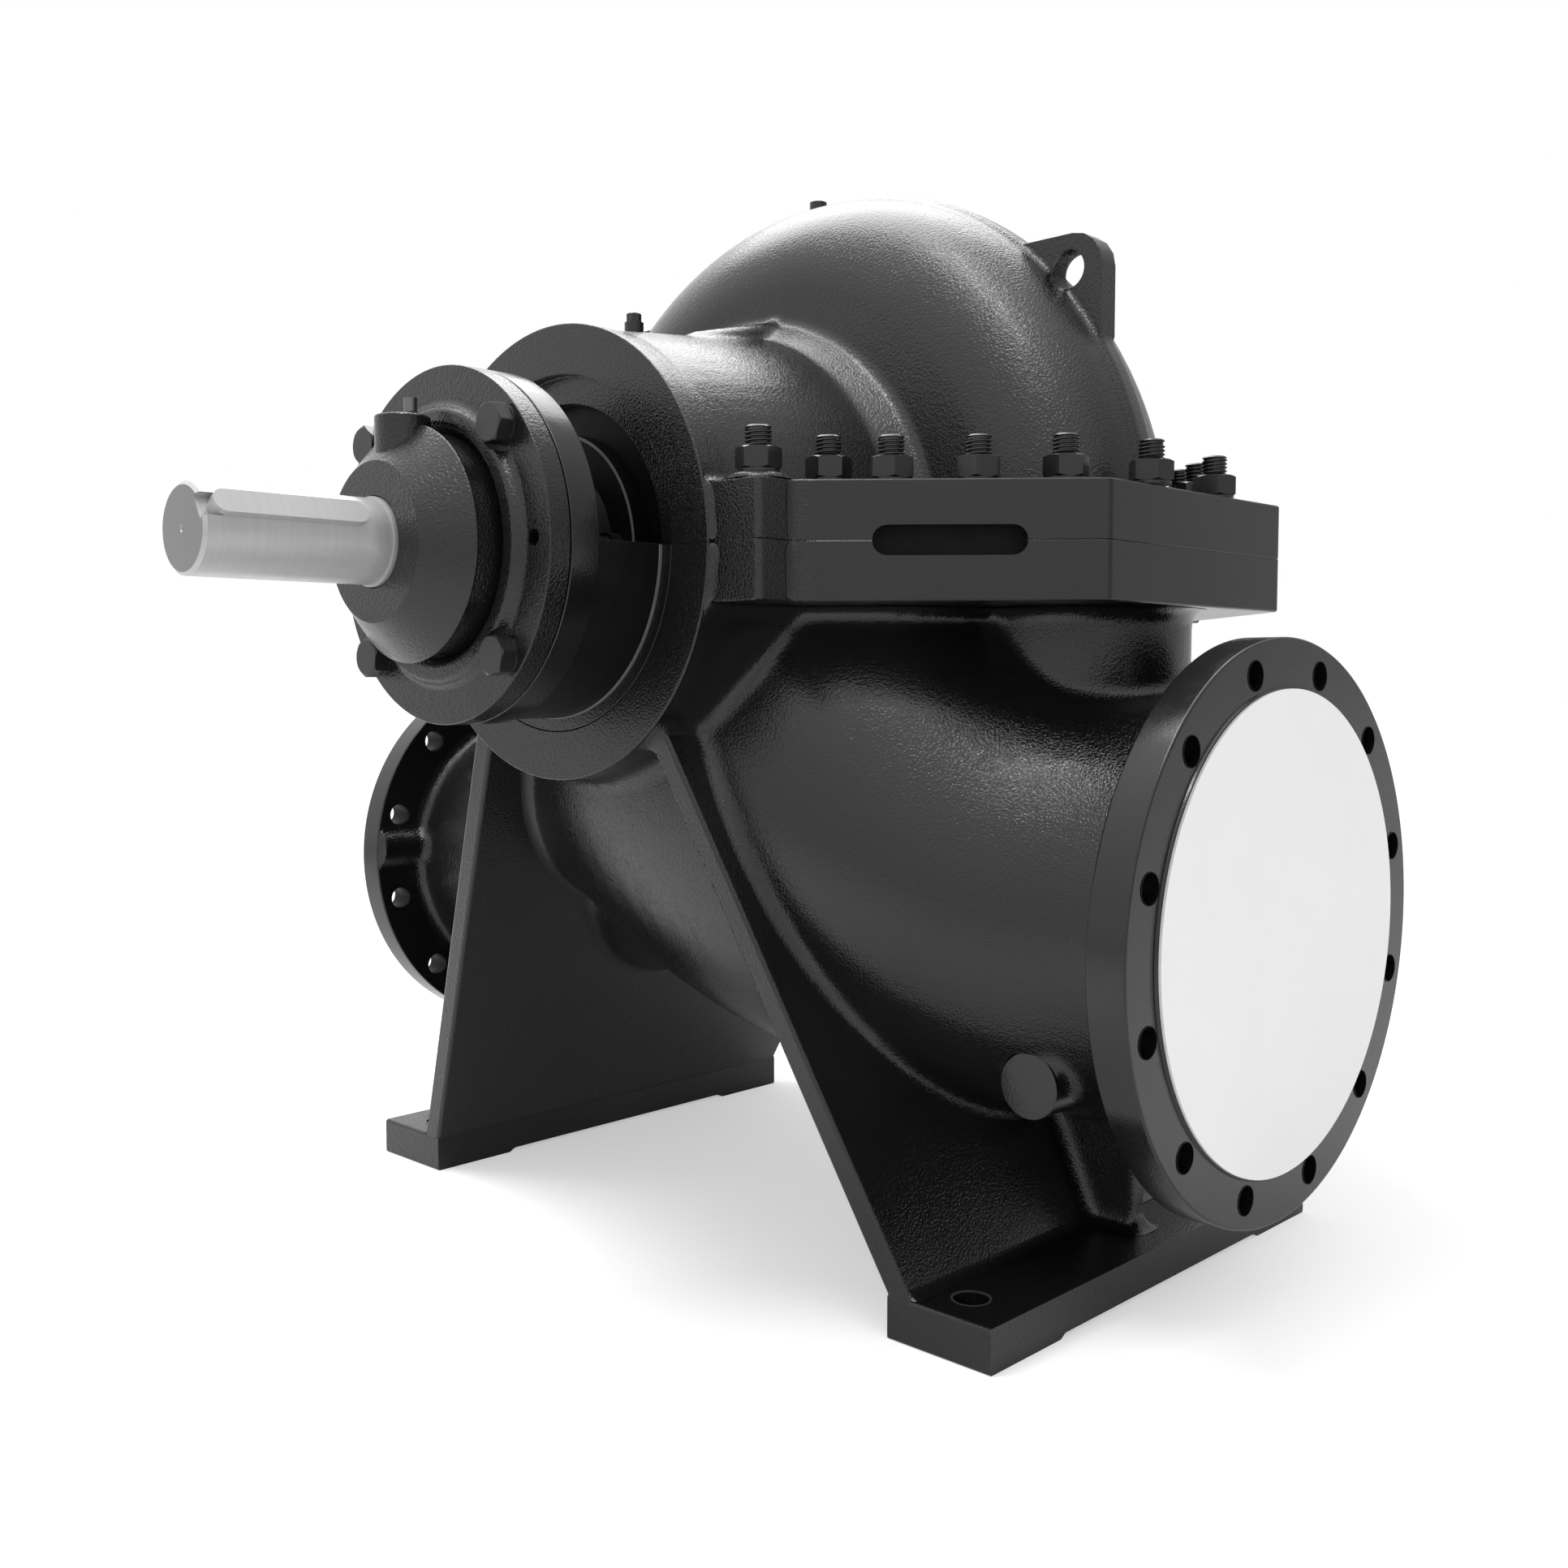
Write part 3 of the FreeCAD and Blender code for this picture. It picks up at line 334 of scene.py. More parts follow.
def spread(tree, source, low, high, to_low=0.0, to_high=1.0):
    """Map a range of values onto another one, held at its ends."""
    node = tree.nodes.new("ShaderNodeMapRange")
    for name, number in (("From Min", low), ("From Max", high), ("To Min", to_low), ("To Max", to_high)):
        node.inputs[name].default_value = number
    tree.links.new(source, node.inputs["Value"])
    return node.outputs["Result"]


def sums(tree, operation, first, second):
    """One arithmetic step between two sockets, or a socket and a number."""
    node = tree.nodes.new("ShaderNodeMath")
    node.operation = operation
    for slot, term in enumerate((first, second)):
        if isinstance(term, (int, float)):
            node.inputs[slot].default_value = term
        else:
            tree.links.new(term, node.inputs[slot])
    return node.outputs[0]


def along_x(tree):
    """The object's own X in metres."""
    parts = tree.nodes.new("ShaderNodeSeparateXYZ")
    tree.links.new(tree.nodes.new("ShaderNodeTexCoord").outputs["Object"], parts.inputs[0])
    return parts.outputs["X"]


def bump(tree, shader, layers):
    """Chain bumps of (height, depth in metres) onto the shader."""
    last = None
    for height, depth in layers:
        node = tree.nodes.new("ShaderNodeBump")
        node.inputs["Distance"].default_value = depth
        tree.links.new(height, node.inputs["Height"])
        if last:
            tree.links.new(last, node.inputs["Normal"])
        last = node.outputs["Normal"]
    tree.links.new(last, shader.inputs["Normal"])


def black_paint(name, tone=0.007, rough=(0.14, 0.22), grain=0.00004, wave=0.00003, rough_beyond=None,
                specular=0.5):
    """Glossy black machinery paint. Grain is the depth of the sand-cast skin, wave that of slower
    unevenness; with rough_beyond the skin is coarse only past that distance from the middle along X."""
    made, tree, shader = material(name, tone, rough[0], specular=specular)
    cloud = noise(tree, 9, detail=4, rough=0.6)
    tree.links.new(spread(tree, cloud, 0.3, 0.7, tone * 0.8, tone * 1.2), shader.inputs["Base Color"])
    sheen = noise(tree, 60, detail=3, rough=0.6)
    tree.links.new(spread(tree, sheen, 0.3, 0.7, *rough), shader.inputs["Roughness"])
    skin = spread(tree, noise(tree, 500, distortion=0.3), 0.35, 0.65)
    patch = spread(tree, noise(tree, 6), 0.35, 0.6, 0.55, 1.0)
    if rough_beyond:
        distance = sums(tree, "ABSOLUTE", along_x(tree), 0)
        patch = spread(tree, distance, rough_beyond - 0.006, rough_beyond, 0.12, 1.0)
    bump(tree, shader, [(noise(tree, 60), wave), (sums(tree, "MULTIPLY", skin, patch), grain)])
    return made


def turned_steel(name, tone, rough, stretch, metallic=1.0):
    """Bright lathe-turned steel with faint tool marks across one axis."""
    made, tree, shader = material(name, tone, rough, metallic)
    marks = noise(tree, 260, rough=0.6, stretch=stretch)
    tree.links.new(spread(tree, marks, 0.3, 0.7, tone * 0.95, tone * 1.03), shader.inputs["Base Color"])
    sheen = noise(tree, 40, detail=3)
    tree.links.new(spread(tree, sheen, 0.3, 0.7, rough * 0.9, rough * 1.15), shader.inputs["Roughness"])
    bump(tree, shader, [(marks, 0.000004)])
    return made


def shaft_finish():
    """Turned steel whose end face is darker."""
    made = turned_steel("shaft_steel", 0.47, 0.32, (1, 0.02, 0.02), metallic=0.4)
    tree = made.node_tree
    color = tree.nodes["Principled BSDF"].inputs["Base Color"]
    tone = color.links[0].from_socket
    end_face = sums(tree, "GREATER_THAN", along_x(tree), (SHAFT_END - 0.04) * 0.001)
    tree.links.new(sums(tree, "MULTIPLY", tone, spread(tree, end_face, 0, 1, 1.0, 0.45)), color)
    return made


def cover_plastic():
    """White nozzle cover sheet."""
    made, tree, shader = material("cover_white", 0.93, 0.5)
    cloud = noise(tree, 14, detail=3)
    tree.links.new(spread(tree, cloud, 0.3, 0.7, 0.92, 0.94), shader.inputs["Base Color"])
    bump(tree, shader, [(noise(tree, 30), 0.0002), (noise(tree, 900, detail=1), 0.00001)])
    return made


def gasket_sheet():
    """Dull dark fibre sheet."""
    made, tree, shader = material("gasket_sheet", 0.02, 0.8)
    tree.links.new(spread(tree, noise(tree, 400), 0.3, 0.7, 0.015, 0.03), shader.inputs["Base Color"])
    bump(tree, shader, [(noise(tree, 1200), 0.00003)])
    return made


cast_paint = black_paint("cast_paint", rough=(0.1, 0.17), grain=0.00022, wave=0.00008)
plate_paint = black_paint("plate_paint", grain=0.0003, rough_beyond=0.272)
machined_paint = black_paint("machined_paint")
# Near-black, dull paint that stands in for shade: in the pry slots, on the walls of the flange holes and on the
# parts inside the end windows.
painted_shade_black = black_paint("painted_shade_black", tone=0.002, rough=(0.4, 0.5), specular=0.15)
# Darker, duller paint on the open troughs that stands in for the shade inside them.
trough_shade_paint = black_paint("trough_shade_paint", tone=0.004, rough=(0.3, 0.4), specular=0.25)
fastener_paint = black_paint("fastener_paint", tone=0.009, rough=(0.2, 0.28))
# Lighter paint on thin edges that stands in for highlights.
edge_highlight_paint = black_paint("edge_highlight_paint", tone=0.12, rough=(0.3, 0.4))
# Lighter paint for rims round the foot holes, a painted highlight.
rim_highlight_paint = black_paint("rim_highlight_paint", tone=0.05, rough=(0.2, 0.3))
fitting_metal = turned_steel("fitting_metal", 0.16, 0.35, (1, 1, 0.1))


# Castings. The CAD solid is grown and shrunk again as a distance field, which leaves a cast
# fillet in every hollow corner, and the machined places are then cut back out of it.

VOXEL = 2.8  # grid step of the distance field
KEPT_SHARE = 0.3  # share of its triangles that a casting keeps


def casting(node, radius, cutters):
    """The cast body of a CAD node, with fillets of a radius and the cutters taken out."""
    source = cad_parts[node].data
    source.calc_loop_triangles()
    points = np.zeros(len(source.vertices) * 3, np.float32)
    source.vertices.foreach_get("co", points)
    triangles = np.zeros(len(source.loop_triangles) * 3, np.int32)
    source.loop_triangles.foreach_get("vertices", triangles)
    grid = {"transform": openvdb.createLinearTransform(voxelSize=VOXEL), "halfWidth": radius / VOXEL + 3}
    field = openvdb.FloatGrid.createLevelSetFromPolygons(
        points.reshape(-1, 3) * 1000, triangles=triangles.reshape(-1, 3).astype(np.uint32), **grid)
    grown, quads = field.convertToQuads(isovalue=radius)
    field = openvdb.FloatGrid.createLevelSetFromPolygons(grown, quads=quads, **grid)
    shrunk, quads = field.convertToQuads(isovalue=-radius)
    # the field's faces look inwards
    thing = piece(f"{node}_cast", (shrunk, quads[:, ::-1]), cast_paint, sharp=ALL_SMOOTH)
    even = thing.modifiers.new("even", "SMOOTH")
    even.factor = 0.5
    even.iterations = 3
    thin = thing.modifiers.new("thin", "DECIMATE")
    thin.ratio = KEPT_SHARE
    settle(thing, ALL_SMOOTH)
    carve(thing, cutters, 30)
    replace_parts(thing, node)


def split_outline(inset=0.0):
    """The split flange from above, inside its real outline by the inset."""
    lean = 0.4 * inset  # how far the slanted sides then move their corners along X
    quarter = [(312 - inset, 230 - inset, 5), (279 - lean, 230 - inset, 8), (129 - lean, 403 - inset, 8)]
    half = quarter + [(-x, y, r) for x, y, r in quarter[::-1]]
    return half + [(-x, -y, r) for x, y, r in half]


def pry_slot(x_side, y_side, length=112, height=22, behind=45, before=45):
    """A round-ended block across the split line, square to one slanted face of the flange. It runs
    from a distance behind that face to one before it, which is negative where it ends behind it."""
    half, tall = length / 2, height / 2
    outline = [(x, z, tall - 0.1) for x, z in rectangle(-half, -tall, half, tall)]
    low, high = sorted((-y_side * behind, y_side * before))
    block = turned(prism(outline, low, high, axis="Y"), SLOT_SLANT * (-x_side * y_side))
    return moved(block, x_side * SLOT_CENTRE[0], y_side * SLOT_CENTRE[1], H)


def end_bores(radius, ring_radius=0):
    """Cutters for the seal chambers; with a ring radius they also clear the room of the end rings."""
    inner, outer = 231, 345
    profile = rectangle(inner, 0, outer, radius)
    if ring_radius:
        profile = [(inner, 0), (outer, 0), (outer, ring_radius), (RECESS_X - 2, ring_radius),
                   (RECESS_X - 2, radius + 3), (RING_BACK + 1, radius + 3), (RING_BACK + 1, radius),
                   (inner, radius)]
    return [lathe(profile, end=end) for end in ENDS]


def casting_cutters(low, high):
    """What both castings lose: their half of the split flange, the chambers and what lies past the rings."""
    fronts = [lathe(rectangle(RING_FACE - 0.5, 0, 350, 230), end=end) for end in ENDS]
    return [prism(split_outline(-CLEAR), low, high)] + end_bores(OPENING_RADIUS, RECESS_RADIUS + 2) + fronts


def beyond_split(low, high):
    """Everything between two heights."""
    return prism(rectangle(-400, -600, 400, 600), low, high)


def foot_space(side):
    """Room for the machined foot of one side."""
    low, high = sorted((side * (FOOT_INNER - CLEAR), side * (FOOT_OUTER + CLEAR)))
    reach = FOOT_LENGTH + CLEAR
    return prism(rectangle(-reach, -20, reach, FOOT_HEIGHT + CLEAR), low, high, axis="Y")


def nozzle_space(nozzle):
    """Room for the machined flange of one nozzle."""
    back, radius = nozzle.face - nozzle.thickness - CLEAR, nozzle.radius + CLEAR
    return lathe(rectangle(back, 0, nozzle.face + 20, radius), "Y", (0, NOZZLE_HEIGHT), end=nozzle.side)


def drain_space(end):
    """Room for the machined face of one drain boss."""
    return lathe(rectangle(132, 0, 170, 25.2), "X", DRAIN_BOSS, 64, end=end)


def lug_eye(side):
    """The eye of one lifting lug."""
    return drill("X", (side * LUG_HOLE[0], LUG_HOLE[1]), -40, 40, LUG_HOLE_RADIUS)


def castings():
    """The two halves of the casing, each with its own size of fillet."""
    lower = [beyond_split(H - 0.6, 1200)] + casting_cutters(H - SPLIT_HEIGHT - CLEAR, H + 2)
    lower += [nozzle_space(nozzle) for nozzle in NOZZLES] + [foot_space(side) for side in SIDES]
    lower += [drain_space(end) for end in ENDS]
    upper = [beyond_split(-100, H + 0.6)] + casting_cutters(H - 2, H + SPLIT_HEIGHT + CLEAR)
    upper += [lug_eye(side) for side in SIDES]
    casting("lower_casing", 9, lower)
    casting("upper_casing", 3.5, upper)


def split_plates():
    """The two plates of the split flange, rounded at their outer edges and closed to a hairline."""
    slots = [pry_slot(x, y) for x in (1, -1) for y in (1, -1)]
    for word, side in (("upper", 1), ("lower", -1)):
        # height from the split line and inset of the outline
        levels = [(SPLIT_GAP, 0.3), (SPLIT_GAP + 0.4, 0)]
        levels += [(SPLIT_HEIGHT - 2 + 2 * sin(t), 2 - 2 * cos(t)) for t in (0, pi / 6, pi / 3, pi / 2)]
        rings = [[(x, y, H + side * z) for x, y in soften(split_outline(inset))] for z, inset in levels]
        plate = piece(f"{word}_split_flange", stack(rings), plate_paint, sharp=25)
        carve(plate, end_bores(150) + slots, 25)


def slot_painted_shade():
    """Near-black blocks of painted shade in the slots, set back behind their edges."""
    shade_blocks = [pry_slot(x, y, 112.6, 22.6, behind=42, before=-20) for x in (1, -1) for y in (1, -1)]
    piece("pry_slot_painted_shade", gather(*shade_blocks), painted_shade_black)


def end_rings():
    """The machined rings at both ends of the casing, in two halves that close to a hairline."""
    inner = OPENING_RADIUS + 0.3
    profile = [(RING_BACK, inner), (RING_BACK, RING_RADIUS - 0.6), (303, RING_RADIUS + 0.1, 3),
               (RING_FACE, RING_RADIUS + 0.1, 1.6), (RING_FACE, RECESS_RADIUS + 0.3, 1),
               (RECESS_X, RECESS_RADIUS + 0.3, 1), (RECESS_X, inner, 1)]
    gap = SPLIT_GAP / RING_RADIUS
    for end, word in ENDS.items():
        for half, start in (("upper", 0), ("lower", pi)):
            ring = lathe(profile, start=start + gap, sweep=pi - 2 * gap, end=end, steps=96)
            piece(f"{half}_end_ring_{word}", ring, cast_paint)


def flange_hole_places(nozzle):
    """Where the bolt holes of a nozzle flange are, as (x, z); none lies on its upright middle line."""
    turns = [radians(15 + 30 * k) for k in range(FLANGE_HOLES)]
    return [(nozzle.pitch * cos(turn), NOZZLE_HEIGHT + nozzle.pitch * sin(turn)) for turn in turns]


def nozzle_flanges():
    """The drilled flanges with their raised faces, and near-black painted shade on the walls of their holes."""
    for nozzle in NOZZLES:
        word = SIDES[nozzle.side]
        face, back = nozzle.face, nozzle.face - nozzle.thickness
        profile = [(back, 0), (back, nozzle.radius, 2), (face - 2, nozzle.radius, 2),
                   (face - 2, nozzle.raised + 1), (face, nozzle.raised, 0.8), (face, 0)]
        plate = lathe(profile, "Y", (0, NOZZLE_HEIGHT), end=nozzle.side, steps=160)
        disc = piece(f"{word}_flange", plate, machined_paint)
        low, high = sorted((nozzle.side * (back - 5), nozzle.side * (face + 5)))
        places = flange_hole_places(nozzle)
        carve(disc, [gather(*[drill("Y", at, low, high, FLANGE_HOLE_RADIUS, 40) for at in places])])
        bevel(disc, 0.8, angle=50)
        # thin near-black linings on the hole walls are painted shade
        wall = rectangle(back + 1, 11.1, face - 1.5, 11.6)
        walls = [lathe(wall, "Y", at, 40, end=nozzle.side) for at in places]
        piece(f"{word}_flange_hole_painted_shade", gather(*walls), painted_shade_black)


def feet():
    """The feet, relieved under their middle, with lighter rims round the bolt holes as painted highlights."""
    outline = [(-FOOT_LENGTH, 0, 2), (-152, 0, 2), (-146, 3.5, 8), (146, 3.5, 8), (152, 0, 2),
               (FOOT_LENGTH, 0, 2), (FOOT_LENGTH, FOOT_HEIGHT, 3), (-FOOT_LENGTH, FOOT_HEIGHT, 3)]
    for side, word in SIDES.items():
        low, high = sorted((side * FOOT_INNER, side * FOOT_OUTER))
        foot = piece(f"{word}_foot", prism(outline, low, high, axis="Y"), cast_paint)
        places = [(end * FOOT_BOLT[0], side * FOOT_BOLT[1]) for end in ENDS]
        carve(foot, [drill("Z", at, -5, 40, FOOT_HOLE_RADIUS, 40) for at in places])
        bevel(foot, 1.6)
        # lighter rims round the holes are painted highlights
        edge = rectangle(FOOT_HEIGHT - 1, 13.6, FOOT_HEIGHT + 0.1, 15.2)
        piece(f"{word}_foot_hole_rims", gather(*[lathe(edge, "Z", at, 48) for at in places]), rim_highlight_paint)


def web_ring(side, z):
    """The outline of a leg web at a height, a little outside that of the casting."""
    (foot_z, foot_half, foot_outer), (top_z, top_half, top_outer) = WEB_FOOT, WEB_TOP
    share = (z - foot_z) / (top_z - foot_z)
    half = foot_half + (top_half - foot_half) * share + 0.5
    outer = foot_outer + (top_outer - foot_outer) * share
    return [(x, side * y, z) for x, y in rectangle(-half, outer - 22, half, outer + 0.6)]


def webs():
    """Crisp walls over the casting's own, whose fillets come out from under them."""
    for side, word in SIDES.items():
        web = piece(f"{word}_web", stack([web_ring(side, z) for z in (WEB_FOOT[0], 470)]), cast_paint)
        carve(web, end_bores(RING_RADIUS - 1))
        bevel(web, 3, 3)


def lugs():
    """Crisp cheeks over the casting's own lugs."""
    for side, word in SIDES.items():
        outline = [(150, 740), (282, 690), (316.4, 762, 4), (316.4, 846.4, 28), (150, 846.4)]
        shape = prism([(side * y, z, *rounding) for y, z, *rounding in outline], -10.5, 10.5, axis="X")
        cheek = piece(f"{word}_lifting_lug", shape, cast_paint)
        carve(cheek, [lug_eye(side)])
        bevel(cheek, 2, 3)


def drain_bosses():
    """Blank round bosses low on the suction side."""
    profile = [(96, 0), (96, 25.4), (154, 25.4, 1), (154, 0)]
    for end, word in ENDS.items():
        piece(f"drain_boss_{word}", lathe(profile, "X", DRAIN_BOSS, 64, end=end), machined_paint)


# Ends

def bearing_brackets():
    """A ring that holds the bearing and an open trough back to the casing in darker painted shade, with a
    painted highlight along the edge of its spigot.
    """
    ring = [(356, 36), (356, 78, 3), (HOUSING_BACK, 78, 5), (HOUSING_BACK, HOUSING_RADIUS, 1.2),
            (COVER_SEAM - 0.4, HOUSING_RADIUS, 1.2), (COVER_SEAM - 0.4, 36)]
    spigot = [(RECESS_X + 0.2, 121), (RECESS_X + 0.2, 141.9), (RING_FACE - 0.3, 141.9, 0.6),
              (RING_FACE - 0.3, 121)]
    trough = [(RING_FACE - 0.2, 121), (RING_FACE - 0.2, TROUGH_RADIUS), (HOUSING_BACK + 1, TROUGH_RADIUS),
              (HOUSING_BACK + 1, 121)]
    lip = [(RING_FACE - 0.3, 125), (RING_FACE - 0.3, TROUGH_RADIUS + 1, 0.5),
           (RING_FACE + 2.6, TROUGH_RADIUS + 0.6, 0.5), (RING_FACE + 2.6, 125)]
    for end, word in ENDS.items():
        node = f"bearing_bracket_{word}"
        housing = piece(f"{node}_ring", lathe(ring, end=end, steps=160), machined_paint)
        seat = piece(f"{node}_spigot", lathe(spigot, start=pi, sweep=pi, end=end, steps=96), cast_paint)
        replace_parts(seat, node)
        # the trough's darker, duller paint is painted shade
        shell = piece(f"{node}_trough", lathe(trough, start=pi - 0.008, sweep=pi + 0.016, end=end, steps=96),
                      trough_shade_paint)
        bevel(shell, 0.8)
        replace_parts(housing, node)
        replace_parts(shell, node)
        # the lighter lip is a painted highlight
        piece(f"{node}_lip", lathe(lip, start=pi - 0.004, sweep=pi + 0.008, end=end, steps=96), edge_highlight_paint)


def on_cover(angle, radius=COVER_BOLT_CIRCLE):
    """A place on the face of a bearing cover, as (y, z)."""
    return (radius * cos(angle), H + radius * sin(angle))


def bearing_covers():
    """Bells bolted over the bearings, with a collar that gives way to the bolt heads."""
    scallops = gather(*[drill("X", on_cover(angle, 119), COVER_FRONT + 0.05, 470, 21, 64)
                        for angle in COVER_BOLT_ANGLES])
    jack = drill("X", (116, H), COVER_FRONT - 14, 470, 6, 32)
    bore = 33.8
    collar = [(COVER_SEAM + 0.4, bore), (COVER_SEAM + 0.4, HOUSING_RADIUS, 1.2),
              (COVER_FRONT, HOUSING_RADIUS, 1.2), (COVER_FRONT, 106, 7), (430.5, 102, 5), (431.5, 91, 5)]
    cone = [(425, 84), (447.6, 84, 1.5), (450.6, 89.4, 1.6), (480.6, 59, 1.2), (480.6, bore)]
    cap = [(436, 91, 4), (446.9, 84, 3), (446.9, 0), (437, 0), (437, bore)]
    drive = piece("bearing_cover_drive_body", lathe(collar + cone, steps=192), cast_paint)
    carve(drive, [scallops, jack])
    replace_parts(drive, "bearing_cover_drive")
    cup = lathe([(H + 36, 0), (H + 36, 20.5), (H + 94, 20.5, 2), (H + 94, 0)], "Z", (454, 0), 72)
    foot = lathe([(H + 92, 0), (H + 92, 6), (H + 98, 6, 1), (H + 98, 0)], "Z", (447, 0), 6)
    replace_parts(piece("bearing_cover_drive_cup", gather(cup, foot), cast_paint), "bearing_cover_drive")
    far = piece("bearing_cover_far_body", lathe(collar[:-1] + cap, steps=160, end=FAR), cast_paint)
    carve(far, [facing(scallops, FAR), facing(jack, FAR)])
    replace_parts(far, "bearing_cover_far")


def seal_rims():
    """The thin edge of each seal cover, painted lighter as a highlight."""
    for end, word in ENDS.items():
        rim = [(311.6, 94), (311.6, 96.2), (312.2, 96.2), (312.2, 94)]
        piece(f"seal_cover_rim_{word}", lathe(rim, end=end), edge_highlight_paint)


# Fasteners

def hexagon(across, height, nut=False):
    """A hexagon whose corners are chamfered at its top, and at its foot too for a nut."""
    steps, slope = 72, tan(radians(30))
    flat = across / 2
    chamfer = 0.985 * flat
    rings = [[] for _ in range(4)]
    for k in range(steps):
        angle = 2 * pi * k / steps
        reach = min(flat / cos((angle + pi / 6) % (pi / 3) - pi / 6), 0.995 * flat / cos(pi / 6))
        fall = (reach - chamfer) * slope
        levels = ((chamfer, 0), (reach, fall if nut else 0), (reach, height - fall), (chamfer, height))
        for ring, (radius, level) in zip(rings, levels):
            ring.append((radius * cos(angle), radius * sin(angle), level))
    return stack(rings)


def thread(radius, low, high, pitch=2.9, depth=1.5):
    """A threaded rod end: a helical ridge round a core with a chamfered tip."""
    steps = 36
    rows = int((high - low - 1.5) / pitch) * 4
    # how deep each of the four rows of a turn lies
    drops = (0, 0.15, 1, 0.85)
    verts, faces = [], []
    for j in range(rows + 1):
        for k in range(steps):
            inset = depth * drops[j % 4] if 0 < j < rows else depth
            angle = 2 * pi * k / steps
            height = min(low + pitch * (j / 4 + k / steps), high - 1.2)
            verts.append(((radius - inset) * cos(angle), (radius - inset) * sin(angle), height))
    for j in range(rows):
        for k in range(steps):
            corner = j * steps + k
            if k + 1 < steps:
                faces.append((corner, corner + 1, corner + steps + 1, corner + steps))
            elif j + 5 <= rows:
                faces.append((corner, (j + 4) * steps, (j + 5) * steps, corner + steps))
    core = [(low - 2, 0), (low - 2, radius - depth), (high - 1.5, radius - depth),
            (high - 1.2, radius - 0.2), (high, radius - 1.6), (high, 0)]
    return gather((np.array(verts), faces), lathe(core, "Z", (0, 0), steps))


def washer(radius, thickness):
    """A washer without its hole, which a stud or a head covers."""
    return lathe([(0, 0), (0, radius), (thickness, radius, 0.5), (thickness, 0)], "Z", (0, 0), 40, arc=2)


# Studs of the half towards the suction nozzle: x, y and how high their seat stands; the other half is turned
STUDS = [(290, 208, 5), (243, 234, 0), (212, 268, 0), (170, 316, 0), (130, 365, 0), (45, 385, 3), (-51, 385, 0),
         (-80, 353, 0), (-105, 323, 0), (-170, 316, 0), (-212, 268, 0), (-243, 234, 0), (-290, 208, 5)]
spin = np.random.default_rng(7)


def split_studs():
    """Washers, nuts and stud ends on the split flange, each turned at random."""
    studs, nuts, washers = [], [], []
    for x, y, rise in STUDS + [(-x, -y, rise) for x, y, rise in STUDS]:
        top = H + SPLIT_HEIGHT + rise
        washers.append(moved(washer(15.5, 2.5), x, y, top))
        nuts.append(moved(turned(hexagon(30, 16, nut=True), spin.uniform(0, pi / 3)), x, y, top + 2.5))
        studs.append(moved(turned(thread(10, 16.5, 34), spin.uniform(0, 2 * pi)), x, y, top))
    piece("split_flange_washers", gather(*washers), fastener_paint)
    piece("split_flange_nuts", gather(*nuts), fastener_paint, sharp=20)
    piece("split_flange_studs", gather(*studs), fastener_paint)


def upright(shape, end):
    """A fastener that stands on +Z, laid along X for one end."""
    return facing(turned(shape, pi / 2, "Y"), end)


def cover_bolts():
    """Four bolts with washers on each bearing cover."""
    bolts, collars = [], []
    for end in ENDS:
        for angle in COVER_BOLT_ANGLES:
            y, z = on_cover(angle)
            head = turned(hexagon(27.5, 12.5), spin.uniform(0, pi / 3))
            bolts.append(moved(upright(head, end), end * (COVER_FRONT + 2.2), y, z))
            collars.append(moved(upright(washer(14.8, 2.2), end), end * COVER_FRONT, y, z))
    piece("cover_bolts", gather(*bolts), fastener_paint, sharp=20)
    piece("cover_bolt_washers", gather(*collars), fastener_paint)


def gland_nuts():
    """Two small studs with nuts on each gland, seen through the windows."""
    nuts, tips = [], []
    for end in ENDS:
        for y in (72, -72):
            nuts.append(moved(upright(hexagon(19, 9, nut=True), end), end * 322, y, H))
            tips.append(moved(upright(thread(6, 0, 20, pitch=2, depth=1), end), end * 320, y, H))
    piece("gland_nuts", gather(*nuts), fastener_paint, sharp=20)
    piece("gland_studs", gather(*tips), fastener_paint)


def plug_heads():
    """Heads on the flush plugs of the necks."""
    heads = []
    for word in ENDS.values():
        low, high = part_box(f"flush_plug_{word}")
        # the box is in metres, and half a sum is its middle
        x, y = 500 * (low[0] + high[0]), 500 * (low[1] + high[1])
        heads.append(moved(hexagon(11, 8), x, y, 1000 * high[2] - 0.5))
    piece("flush_plug_heads", gather(*heads), fastener_paint, sharp=20)


# What shows of the CAD as it is

def finish_cad_nodes():
    """Finishes for the CAD nodes that no piece replaces."""
    shaft_steel, cover_white = shaft_finish(), cover_plastic()
    finishes = {"casing_gasket": gasket_sheet(), "suction_nozzle_cover": cover_white,
                "discharge_nozzle_cover": cover_white, "shaft": shaft_steel, "shaft_key": shaft_steel,
                "vent_plug": fastener_paint, "flush_plug_drive": fastener_paint,
                "flush_plug_far": fastener_paint, "grease_nipple_drive": fitting_metal,
                "grease_nipple_far": fitting_metal}
    # the parts inside the end windows get the near-black painted shade
    for word in ENDS.values():
        for inner in ("seal_cover", "gland", "shaft_sleeve", "slinger"):
            finishes[f"{inner}_{word}"] = painted_shade_black
    for node, finish in finishes.items():
        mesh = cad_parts[node].data
        mesh.materials.clear()
        mesh.materials.append(finish)


# Camera, backdrop and light

PHOTO_PLACE = (1.1141, 1.0239, 0.4841)
PHOTO_TILT, PHOTO_HEADING = 86.3, 133.8  # degrees
PHOTO_LENS, SENSOR_WIDTH = 36.33, 36  # millimetres


